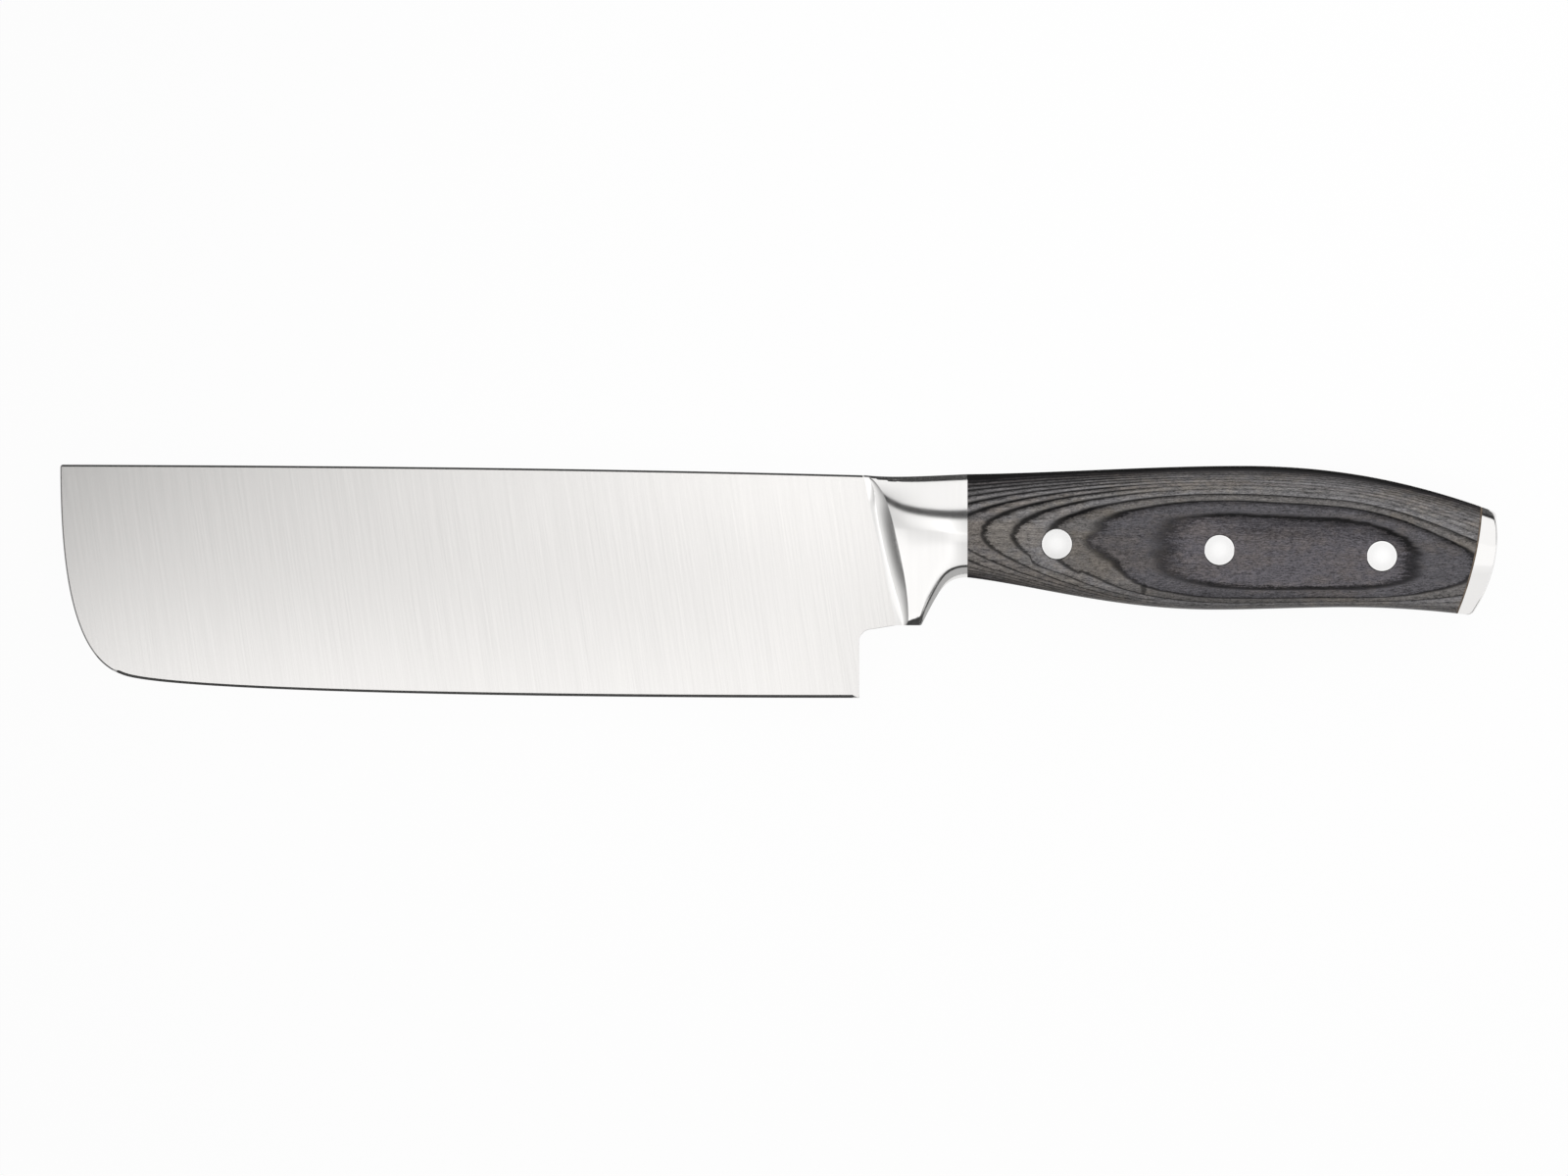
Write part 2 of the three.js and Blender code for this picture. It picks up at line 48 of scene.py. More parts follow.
blade = dict(
    length=180.0, spineRise=2.4, heelDepth=36.5, bellyRise=5.3, tipLength=13.6, tipFullness=15.5,
    spineThickness=2.4, edgeThickness=0.7, distalTaper=0.25, bevelSlope=0.46, edgeLand=0.08, grindEnd=0.06,
    spineBreak=0.45, tipBreak=0.3, breakSlope=0.87, heelRound=0.14, roundRun=1.5, tipRound=0.6,
    spinePull=(0.92, 0.68), tipPull=(1.5, 0.2, 0.24), edgePull=(0.58, 0.76, 0.62),
    neckSteps=9, notchSteps=14, heelSteps=6, edgeStride=12, tipStride=18, cornerSteps=7, stripRows=6,
    cornerGap=0.2, sweepGap=0.12, miterLeast=0.6,
)
bolster = dict(
    length=22.4, shoulder=13.15, dip=0.7, heelSetback=24.1, notchRadius=2.8, notchRise=0.9,
    guardDepth=20.3, guardFront=15.8, guardBack=10.3, guardHalf=1.7, guardCrown=1.8, guardFoot=0.78,
    guardShoulder=1.35, guardBelly=0.88, fullness=2.2, bellyGrowth=2.6, facetBy=0.3, faceSlope=0.3,
    toeWidth=(0.25, 1.8), toeSlope=0.5, rimWidth=2.5, rimGrowth=1.8, rimSlope=0.32, rimTurn=0.24,
    rimFoot=(1.3, 1.95), rimLeast=0.7, rimFrom=0.02, rimOver=0.06, breakTo=0.3,
    sweepRadius=4.5, sweepLead=0.8, sweepPower=(1.2, 1.5), powerRise=1.6, sweepSlope=0.8, sweepLeast=0.25,
    topPull=(0.72, 0.28, 0.3), fingerPull=(0.63, 0.32, 0.52),
    sweepColumns=18, faceColumns=40, faceGather=1.25, searchTo=0.5, searchSteps=1201,
)
handle = dict(
    length=118.1, frontTop=13.4, frontBottom=9.6, crestAt=61.0, crestHeight=15.25, bellyAt=55.0,
    bellyDepth=16.8, buttTop=4.85, buttDepth=18.8, waistRise=2.1, crownFall=7.0, frontHalf=7.0,
    crownHalf=9.35, buttHalf=8.5, flatFrom=60.0, flatTo=84.0, crownFlat=5.0, crownRidge=0.6, tangHalf=1.5,
    endSquareness=2.0, midSquareness=3.2, endShoulder=2.0, midShoulder=1.5, endBelly=4.4, midBelly=6.3,
    edgeFrom=68.0, edgeSlope=(0.70, 0.87), rimSlope=0.92, rimWidth=(1.15, 1.7), lowerSlope=0.33, rimRun=36.0,
    crestPull=(0.15, 0.35, 0.65, 0.71), bellyPull=(0.27, 0.24, 0.6, 0.33, 0.55),
    upperRows=26, lowerRows=30, upperGather=2.0, lowerGather=2.6, columns=150,
)
cap = dict(
    length=3.0, faceRadius=78.7, faceCentre=12.1, gap=0.4, slant=5.6, buttRadius=31.0, corner=1.2,
    rearRound=0.5, roundShare=0.6, rimWidth=1.55, rimFrom=3.7, rimOver=0.4, crispFrom=9.3, crispOver=0.3,
    columns=10, roundSteps=6, arcSteps=120, cornerSteps=40,
)
rivet = dict(
    front=19.9, pitch=36.2, drop=1.45, fall=0.037, head=6.8, headDepth=2.6, seatGap=0.05, shaft=4.6,
    shaftEnd=0.4, clearance=0.12, edgeRound=0.16, sides=64, rings=7, roundSteps=6, patch=2.2, patchGather=1.4,
)

tipX = -bolster["length"] - blade["length"]
shoulderX = -bolster["length"]
heelX = -bolster["heelSetback"]
sweepTopX = shoulderX - bolster["sweepLead"]
curveSteps = 1500

shift = np.array([
    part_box("butt_cap")[1].x * 1000 - handle["length"],
    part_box("blade_and_tang")[0].y * 1000 + blade["heelDepth"],
    handle["crownHalf"],
])


def setDown(points):
    return (np.asarray(points, float) + shift) / 1000.0


def mix(first, last, share):
    return first + (last - first) * share


def smoothStep(share):
    share = np.clip(share, 0.0, 1.0)
    return share * share * (3.0 - 2.0 * share)


# Outlines, seen from the side

def bezier(*points):
    p = np.array(points, float)
    t = np.linspace(0.0, 1.0, curveSteps)[:, None]
    return (1 - t) ** 3 * p[0] + 3 * (1 - t) ** 2 * t * p[1] + 3 * (1 - t) * t * t * p[2] + t ** 3 * p[3]


def heightAt(line, x):
    return np.interp(x, line[:, 0], line[:, 1])


def bladeLines():
    b, top = blade, bolster["shoulder"]
    tipCurveX, tipCurveY = tipX + b["tipLength"], b["bellyRise"] - b["heelDepth"]
    first, last = b["spinePull"]
    spine = bezier(
        (tipX, top + b["spineRise"]), (tipX + b["length"] / 3, top + b["spineRise"] * first),
        (tipX + b["length"] * 2 / 3, top + b["spineRise"] * last), (shoulderX, top))
    first, along, last = b["tipPull"]
    tip = bezier(
        (tipX, top + b["spineRise"]), (tipX, tipCurveY + b["tipFullness"] * first),
        (tipX + b["tipLength"] * along, tipCurveY + b["tipFullness"] * last), (tipCurveX, tipCurveY))
    along, down, last = b["edgePull"]
    edge = bezier(
        (tipCurveX, tipCurveY), (tipCurveX + b["tipLength"] * along, tipCurveY - b["bellyRise"] * down),
        (tipX + b["length"] * last, -b["heelDepth"]), (heelX, -b["heelDepth"]))
    return spine, tip, edge


def bolsterLines():
    s, h = bolster, handle
    first, last, down = s["topPull"]
    top = bezier(
        (shoulderX, s["shoulder"]), (shoulderX * first, s["shoulder"] - s["dip"]),
        (shoulderX * last, h["frontTop"] - s["dip"] * down), (0, h["frontTop"]))
    rise = s["guardDepth"] - h["frontBottom"]
    first, down, last = s["fingerPull"]
    finger = bezier(
        (-s["guardBack"], -s["guardDepth"]), (-s["guardBack"] * first, -h["frontBottom"] - rise * down),
        (-s["guardBack"] * last, -h["frontBottom"]), (0, -h["frontBottom"]))
    return top, finger


def handleLines():
    h = handle
    crestX, crestY, frontY = h["crestAt"], h["crestHeight"], h["frontTop"]
    rest = h["length"] - crestX
    up, first, last, down = h["crestPull"]
    top = np.vstack([
        bezier((0, frontY), (crestX / 3, mix(frontY, crestY, up)),
               (crestX * 2 / 3, crestY), (crestX, crestY)),
        bezier((crestX, crestY), (crestX + rest * first, crestY),
               (crestX + rest * last, mix(h["buttTop"], crestY, down)), (h["length"], h["buttTop"]))[1:]])
    bellyX, bellyY, frontY = h["bellyAt"], -h["bellyDepth"], -h["frontBottom"]
    rest = h["length"] - bellyX
    along, down, before, first, last = h["bellyPull"]
    bottom = np.vstack([
        bezier((0, frontY), (bellyX * along, mix(frontY, bellyY, down)),
               (bellyX * before, bellyY), (bellyX, bellyY)),
        bezier((bellyX, bellyY), (bellyX + rest * first, bellyY),
               (bellyX + rest * last, bellyY + h["waistRise"]), (h["length"], -h["buttDepth"]))[1:]])
    return top, bottom


spineLine, tipLine, edgeLine = bladeLines()
bolsterTopLine, fingerLine = bolsterLines()
handleTopLine, handleBottomLine = handleLines()
fullSpine = np.vstack([spineLine, bolsterTopLine[1:]])


def undersideAt(x):
    s = bolster
    inside = np.clip(heelX + s["notchRadius"] - x, 0.0, s["notchRadius"])
    arch = np.sqrt(s["notchRadius"] ** 2 - inside ** 2) - s["notchRadius"]
    notch = -s["guardDepth"] - s["notchRise"] + arch
    run = (x - heelX - s["notchRadius"]) / (s["heelSetback"] - s["notchRadius"] - s["guardFront"])
    neck = -s["guardDepth"] - s["notchRise"] * (1 - np.clip(run, 0, 1))
    under = np.where(x < heelX + s["notchRadius"], notch, neck)
    return np.where(x < -s["guardBack"], under, heightAt(fingerLine, x))


def bladeHalf(x, y):
    up = (y + blade["heelDepth"]) / (bolster["shoulder"] + blade["heelDepth"])
    out = (shoulderX - x) / blade["length"]
    return (mix(blade["edgeThickness"], blade["spineThickness"], up) - blade["distalTaper"] * out) / 2


# The handle's form: limits, crown and roundness of its section at x

def handleSection(x):
    h = handle
    ahead = np.clip(x / h["flatFrom"], 0.0, 1.0)
    behind = np.clip((x - h["flatTo"]) / (h["length"] - h["flatTo"]), 0.0, 1.0)
    swell = smoothStep(ahead) * smoothStep(1 - behind)
    half = h["frontHalf"] + (h["crownHalf"] - h["frontHalf"]) * (1 - (1 - ahead) ** 2)
    rim, ending = mix(*h["rimWidth"], x / h["length"]), x - h["length"]
    return dict(
        top=heightAt(handleTopLine, x), bottom=heightAt(handleBottomLine, x),
        crown=-h["crownFall"] * x / h["length"], half=half - (h["crownHalf"] - h["buttHalf"]) * behind ** 2,
        flat=mix(h["crownRidge"], h["crownFlat"], swell) / 2, land=h["tangHalf"], foot=h["tangHalf"],
        across=mix(h["endSquareness"], h["midSquareness"], swell),
        shoulder=mix(h["endShoulder"], h["midShoulder"], swell),
        belly=mix(h["endBelly"], h["midBelly"], swell), edge=1.0, swell=swell,
        rim=mix(rim, cap["rimWidth"], smoothStep((ending + cap["rimFrom"]) / cap["rimOver"])),
        crisp=smoothStep((ending + cap["crispFrom"]) / cap["crispOver"]))


def bolsterSection(share, top, bottom):
    s, back = bolster, handleSection(np.zeros(1))
    ease = 1 - (1 - share) ** s["fullness"]
    return dict(
        top=top, bottom=bottom, crown=mix(s["guardCrown"], back["crown"], share),
        half=mix(s["guardHalf"], back["half"], ease), flat=back["flat"],
        land=mix(blade["spineThickness"] / 2, back["land"], share),
        foot=mix(s["guardFoot"], back["foot"], share), across=back["across"],
        shoulder=mix(s["guardShoulder"], back["shoulder"], share),
        belly=mix(s["guardBelly"], back["belly"], share ** s["bellyGrowth"]),
        edge=smoothStep(share / s["facetBy"]), swell=0.0, rim=back["rim"], crisp=0.0)


# Rows run from the top edge over the crown to the bottom edge; negative swing is above the crown.
# The swings are drawn together at the edges, where the section turns down steeply.
def sectionRows():
    h = handle
    above = 1 - (1 - np.linspace(0, 1, h["upperRows"])) ** h["upperGather"]
    below = 1 - (1 - np.linspace(0, 1, h["lowerRows"])) ** h["lowerGather"]
    return np.concatenate([-above[::-1], below]) * math.pi / 2


rows = sectionRows()


def sectionPoint(section, swing):
    above = np.arange(len(rows)) < handle["upperRows"]
    reach = np.where(above, section["top"] - section["crown"], section["crown"] - section["bottom"])
    low = np.where(above, section["land"], section["foot"])
    power = 2 / np.where(above, section["shoulder"], section["belly"])

    def place(turn):
        out = section["flat"] + (reach - section["flat"]) * np.sin(turn) ** (2 / section["across"])
        return out, mix(low, section["half"], np.clip(np.cos(turn), 0.0, 1.0) ** power)

    out, z = place(np.abs(swing))
    # along the top the last of the section is straight, with a narrow chamfer down to a flat
    height = section["half"] - low
    slope = mix(*handle["edgeSlope"], section["swell"])
    start = np.arctan(slope * (reach - section["flat"]) / height)
    edgeOut, edgeZ = place(mix(start, math.radians(handle["edgeFrom"]), section["swell"]))
    rim = np.clip(out - reach + section["rim"], 0.0, None)
    facet = edgeZ - slope * (out - edgeOut) - (handle["rimSlope"] - slope) * rim
    z = np.where(above & (out > edgeOut), mix(z, facet, section["edge"]), z)
    # the cap's lower side is straight to a crisp edge
    lowerSlope = handle["lowerSlope"]
    lastOut, lastZ = place(np.arctan(lowerSlope * (reach - section["flat"]) / height * section["belly"] / 2))
    straight = lastZ - lowerSlope * (out - lastOut)
    z = np.where(~above & (out > lastOut), mix(z, straight, section["crisp"]), z)
    return section["crown"] + np.where(above, out, -out), z


# Height of the handle's upper side over any point of the side view
def handleHeight(x, y):
    section = handleSection(x)
    away = y - section["crown"]
    above = away > 0
    reach = np.where(above, section["top"] - section["crown"], section["crown"] - section["bottom"])
    share = np.clip((np.abs(away) - section["flat"]) / (reach - section["flat"]), 0.0, 1.0)
    lift = (1 - share ** section["across"]) ** (1 / np.where(above, section["shoulder"], section["belly"]))
    return mix(section["land"], section["half"], lift)


def handleNormal(x, y):
    step = 0.02
    slopeX = (handleHeight(x + step, y) - handleHeight(x - step, y)) / (2 * step)
    slopeY = (handleHeight(x, y + step) - handleHeight(x, y - step)) / (2 * step)
    return unit(np.stack([-slopeX, -slopeY, np.ones_like(slopeX)], -1))


def onHandle(flat):
    return raised(flat, handleHeight(*flat.T)), handleNormal(*flat.T)


def raised(line, z):
    return np.column_stack([line, np.full(len(line), z)])


def unit(vectors):
    return vectors / np.maximum(np.linalg.norm(vectors, axis=-1, keepdims=True), 1e-12)


def linked(name, data):
    item = bpy.data.objects.new(name, data)
    bpy.context.scene.collection.objects.link(item)
    return item


# A skin gathers faces with a normal for each corner, welds corners that share a place and can be mirrored

class Skin:
    def __init__(self):
        self.faces = []  # (points, normals, finish)

    def face(self, points, normals, finish=0):
        self.faces.append((np.asarray(points, float), np.asarray(normals, float), finish))

    def flat(self, points, normal, finish=0):
        self.face(points, np.tile(normal, (len(points), 1)), finish)

    def grid(self, points, normals, finish=0, kept=None):
        points = np.asarray(points, float)
        for i, j in np.ndindex(points.shape[0] - 1, points.shape[1] - 1):
            if kept is None or kept[i, j]:
                ring = [(i, j), (i + 1, j), (i + 1, j + 1), (i, j + 1)]
                self.face([points[c] for c in ring], [normals[c] for c in ring], finish)

    def flipped(self):
        flip = np.array([1, 1, -1.0])
        other = Skin()
        other.faces = [(p[::-1] * flip, n[::-1] * flip, finish) for p, n, finish in self.faces]
        return other

    def mirror(self):
        self.faces += self.flipped().faces

    def build(self, name, paints, slot, stands):
        weld = 2000  # steps in a millimetre; corners on the same step are one point
        spots, places, loops, cornerNormals, finishes = {}, [], [], [], []
        for points, normals, finish in self.faces:
            ids = []
            for point in points:
                key = tuple(np.round(point * weld).astype(int))
                if key not in spots:
                    spots[key] = len(places)
                    places.append(point)
                ids.append(spots[key])
            keep = [k for k in range(len(ids)) if ids[k] != ids[k - 1]]
            if len({ids[k] for k in keep}) < 3:
                continue
            ring, ringNormals = [ids[k] for k in keep], [normals[k] for k in keep]
            corners = np.array([places[k] for k in ring])
            around = np.sum(np.cross(corners, np.roll(corners, -1, 0)), 0)
            if np.dot(around, np.sum(ringNormals, 0)) < 0:
                ring, ringNormals = ring[::-1], ringNormals[::-1]
            loops.append(ring)
            cornerNormals += ringNormals
            finishes.append(finish)
        mesh = bpy.data.meshes.new(name)
        mesh.from_pydata([tuple(p) for p in setDown(places)], [], loops)
        mesh.polygons.foreach_set("use_smooth", [True] * len(loops))
        mesh.polygons.foreach_set("material_index", finishes)
        mesh.normals_split_custom_set([tuple(n) for n in unit(np.array(cornerNormals))])
        for paint in paints:
            mesh.materials.append(paint)
        mesh.update()
        piece = linked(name, mesh)
        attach(piece, "root")
        if stands:
            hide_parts(*stands)
        print(name + ":", len(places), "points,", len(loops), "faces")


def gridNormals(points):
    along = np.gradient(points, axis=0)
    across = np.gradient(points, axis=1)
    normals = np.cross(along, across)
    size = np.linalg.norm(normals, axis=2)
    weak = size < 1e-9
    normals = unit(normals)
    for i, j in zip(*np.nonzero(weak)):  # rows that run together take the normal beside them
        for near in ((i, j + 1), (i, j - 1), (i + 1, j), (i - 1, j)):
            if 0 <= near[0] < len(size) and 0 <= near[1] < size.shape[1] and not weak[near]:
                normals[i, j] = normals[near]
                break
    return normals


def upNormals(points):
    normals = gridNormals(points)
    return normals * np.sign(np.sum(normals[:, :, 2]))


# Outward normals, in the side view, of a line that is walked with the piece on its left
def lineNormals(line):
    along = np.gradient(line, axis=0)
    return unit(np.stack([along[:, 1], -along[:, 0]], -1))


def wall(skin, rim, normals, finish=0, base=0.0):
    points = np.stack([rim, rim * (1, 1, 0) + (0, 0, base)], 1)
    sides = np.zeros_like(points)
    sides[:, :, :2] = normals[:, None]
    skin.grid(points, sides, finish)


# A rounded form and the four walls below its rim, mirrored into a closed piece
def closedSkin(points):
    skin = Skin()
    skin.grid(points, upNormals(points))
    for rim, facing in ((points[:, 0], -1), (points[:, -1], 1), (points[-1], -1), (points[0], 1)):
        wall(skin, rim, facing * lineNormals(rim))
    skin.mirror()
    return skin


# Shader maths: a wire is a socket, and sums on wires add Math nodes

def bothWays(operation):  # an operator and its reflected form
    return (lambda self, other: self.sum(operation, self, other),
            lambda self, other: self.sum(operation, other, self))


class Wire:
    def __init__(self, tree, socket=None):
        self.tree, self.socket = tree, socket

    def node(self, kind, settings=None, sockets=None, out=0):
        made = self.tree.nodes.new("ShaderNode" + kind)
        for name, value in (settings or {}).items():
            if name == "stops":
                band = made.color_ramp.elements
                while len(band) < len(value):
                    band.new(1.0)
                for element, (place, colour) in zip(band, value):
                    element.position = place
                    element.color = (*colour, 1.0)
            elif name == "interpolation":
                made.color_ramp.interpolation = value
            else:
                setattr(made, name, value)
        for name, value in (sockets or {}).items():
            spot = made.inputs[name]
            if isinstance(value, Wire):
                self.tree.links.new(value.socket, spot)
            else:
                spot.default_value = value
        return Wire(self.tree, made.outputs[out])

    def sum(self, operation, *values):
        return self.node("Math", dict(operation=operation), dict(enumerate(values)))

    __add__, __radd__ = bothWays("ADD")
    __sub__, __rsub__ = bothWays("SUBTRACT")
    __mul__, __rmul__ = bothWays("MULTIPLY")
    __truediv__, __rtruediv__ = bothWays("DIVIDE")
    __pow__, __rpow__ = bothWays("POWER")

    def __abs__(self):
        return self.sum("ABSOLUTE", self)


def newPaint(name, look):
    paint = bpy.data.materials.new(name)
    paint.use_nodes = True
    tree = paint.node_tree
    shader = next(n for n in tree.nodes if n.type == "BSDF_PRINCIPLED")
    for socket, value in look.items():
        shader.inputs[socket].default_value = value
    return paint, Wire(tree), shader


def axes(wire, spot):
    made = wire.node("SeparateXYZ", None, {"Vector": spot}).socket.node
    return tuple(Wire(wire.tree, made.outputs[k]) for k in range(3))


def ownPlace(wire):  # x, y and z in millimetres of the object's own space
    return tuple(axis * 1000.0 for axis in axes(wire, wire.node("TexCoord", out="Object")))


# Noise about zero, with its own fineness along each axis
def grain(wire, place, fineness, detail=2.0, rough=0.5):
    spot = wire.node("CombineXYZ", None, {k: place[k] * fineness[k] for k in range(3)})
    made = wire.node("TexNoise", dict(noise_dimensions="3D"),
                     {"Vector": spot, "Scale": 1.0, "Detail": detail, "Roughness": rough})
    return made - 0.5


def ramp(wire, value, start, full):
    return wire.node("MapRange", dict(interpolation_type="SMOOTHSTEP"),
                     {"Value": value, "From Min": start, "From Max": full, "To Min": 0.0, "To Max": 1.0})


def scaled(wire, colour, shade):
    return wire.node("VectorMath", dict(operation="SCALE"), {0: colour, "Scale": shade})


def blend(wire, share, first, last):
    return wire.node("Mix", dict(data_type="RGBA"), {0: share, 6: first, 7: last}, out=2)


def join(wire, value, shader, socket):
    wire.tree.links.new(value.socket, shader.inputs[socket])


def bump(wire, shader, height, strength, distance):
    made = wire.node("Bump", None, {"Strength": strength, "Distance": distance, "Height": height})
    join(wire, made, shader, "Normal")


# brush, fine and cloud are noises: fineness along x, y and z, then detail and roughness
satinLook = dict(
    colour=(0.80, 0.785, 0.77), rough=0.25, lines=0.30, roughLines=0.09, clouds=(0.03, 0.0),
    bump=(0.05, 0.0001),
    lean=0.15, brush=((1.6, 0.022, 0.2), 4.0, 0.65), fine=((4.96, 0.05, 0.2), 2.0, 0.5), fineShare=0.4,
    cloud=((0.02, 0.03, 0.02),),
)
polishLook = dict(
    colour=(0.81, 0.80, 0.79), rough=0.13, lines=0.06, roughLines=0.06, clouds=(0.02, 0.03),
    bump=(0.03, 0.0001),
    lean=0.0, brush=((2.0, 0.05, 0.05), 3.0, 0.6), cloud=((0.08, 0.08, 0.08),),
)
capLook = dict(polishLook, rough=0.08, lines=0.03, roughLines=0.03)
rivetLook = dict(
    polishLook, colour=(0.89, 0.885, 0.88), rough=0.2, lines=0.04, roughLines=0.04,
    paintedRimShade=0.10, rimShadeOver=(0.6, 2.9), rimShadeEnd=(3.0, 3.3),  # painted shade: a head's colour darkens from its middle out towards its rim
)


# Steel with brush lines and faint clouds in its colour, roughness and surface, and painted shade around rivet
# heads
def steel(name, look, heads=()):
    paint, wire, shader = newPaint(name, {"Metallic": 1.0})
    x, y, z = ownPlace(wire)
    brushed = (x + y * look["lean"], y, z)
    lines = grain(wire, brushed, *look["brush"])
    if "fine" in look:
        lines = mix(lines, grain(wire, brushed, *look["fine"]), look["fineShare"])
    cloud = grain(wire, (x, y, z), *look["cloud"])
    shade = 1.0 + lines * look["lines"] + cloud * look["clouds"][0]
    # painted shade: each rivet head's colour darkens from its middle towards its rim, in place of shading
    # from a dome
    for headX, headY in heads:
        away = wire.sum("SQRT", (x - headX) ** 2.0 + (y - headY) ** 2.0)
        inside = 1.0 - ramp(wire, away, *look["rimShadeEnd"])
        shade = shade - look["paintedRimShade"] * ramp(wire, away, *look["rimShadeOver"]) * inside
    join(wire, scaled(wire, look["colour"], shade), shader, "Base Color")
    join(wire, look["rough"] + lines * look["roughLines"] + cloud * look["clouds"][1], shader, "Roughness")
    bump(wire, shader, lines, *look["bump"])
    return paint


def tint(red, green, blue):  # from screen levels to linear light
    shares = (level / 255 for level in (red, green, blue))
    return tuple(v / 12.92 if v < 0.0405 else ((v + 0.055) / 1.055) ** 2.4 for v in shares)


# Veneers lie in layers from the crown to the tang with a dark glue line between them, and the handle's form
# cuts rings out of them. Lengths are in mm from the front of the scales, the crown line and the middle plane.
woodLook = dict(
    firstLine=9.18, pitch=0.48, level=1.02, leastShade=0.3,
    rough=0.46, roughFibres=0.2, roughLines=0.06, specular=0.12,
    grains=dict(
        wander=((0.05, 0.18, 0.3), 1.0), streak=((0.10, 1.4, 1.4), 2.0, 0.55),
        fibre=((0.8, 3.8, 3.8), 2.0, 0.6), speck=((2.4, 6.5, 6.5), 1.0),
        cloud=((0.045, 0.22, 0.25),), mottle=((0.45, 0.6, 0.6),), gate=((0.04, 1.6, 1.6),)),
    wander=0.10, feather=0.09, featherSpecks=0.6,  # how far the noise moves the layers
    streaks=1.4, outerStreaks=0.35, fibres=2.0, specks=1.7, mottle=0.5,  # how far it changes their shade
    hollow=dict(middle=(33.5, -7.4), radii=(10.0, 5.5), over=(1.0, 0.1), depth=0.13),
    nose=dict(middle=(27.5, -1.6), radii=(4.5, 2.4), over=(1.0, 0.1), depth=0.09),
    knot=dict(middle=(39.2, -12.1), radii=(0.75, 1.35), over=(1.25, 0.4), dark=0.6),
    above=(1.0, 5.0), behind=(28.0, 50.0), deep=(8.3, 7.7), low=(-8.0, -11.5), lowDark=0.28,
    closing=(57.0, 45.0), closingReach=41.0,  # where the outer rings close
    line=tint(6, 5, 6), lineLevel=0.96, lineClouds=0.5, softLine=(0.11, 0.6),
    core=(0.015, 0.085), coreWiden=0.45, coreBelow=0.85, coreDeep=0.5,
    haloOut=(0.25, 0.78), haloIn=(0.10, 0.5), haloBelow=0.15, haloDeep=0.8,
    pale=dict(at=0.2, width=(0.01, 0.035), gate=(-0.04, 0.06), depth=(8.0, 7.4), level=0.55),
    warmth=dict(cool=(0.985, 0.99, 1.01, 1.0), brown=(1.05, 1.0, 0.93, 1.0), over=(-0.1, 0.2),
                clouds=0.8, mottle=0.5, front=0.12),
    bump=(0.10, 0.00012), bumpFibres=0.8, bumpLines=0.3,
    veneersAndEdgeShade=[  # colours from the crown inwards to the tang; the deepest, which show along the steep top edge, are a dark liner darkened further to near black as painted shade
        tint(95, 92, 96), tint(87, 85, 88), tint(107, 104, 102), tint(122, 120, 120), tint(114, 112, 111),
        tint(110, 107, 106), tint(112, 110, 110), tint(104, 102, 102), tint(98, 96, 96), tint(82, 80, 80),
        tint(72, 69, 69), tint(40, 38, 39), tint(16, 15, 16), tint(14, 13, 13), tint(14, 13, 13),
        tint(14, 13, 13)],
)


# 1 in the middle of a small oval, falling to 0 at its rim
def oval(wire, along, up, spot):
    (middleX, middleY), (wide, tall) = spot["middle"], spot["radii"]
    away = wire.sum("SQRT", ((along - middleX) / wide) ** 2.0 + ((up - middleY) / tall) ** 2.0)
    return ramp(wire, away, *spot["over"])


# dark stain on one side of a glue line
def stain(wire, away, reach, strength):
    return (1.0 - ramp(wire, away, 0.0, reach)) * ramp(wire, away, -0.01, 0.0) * strength


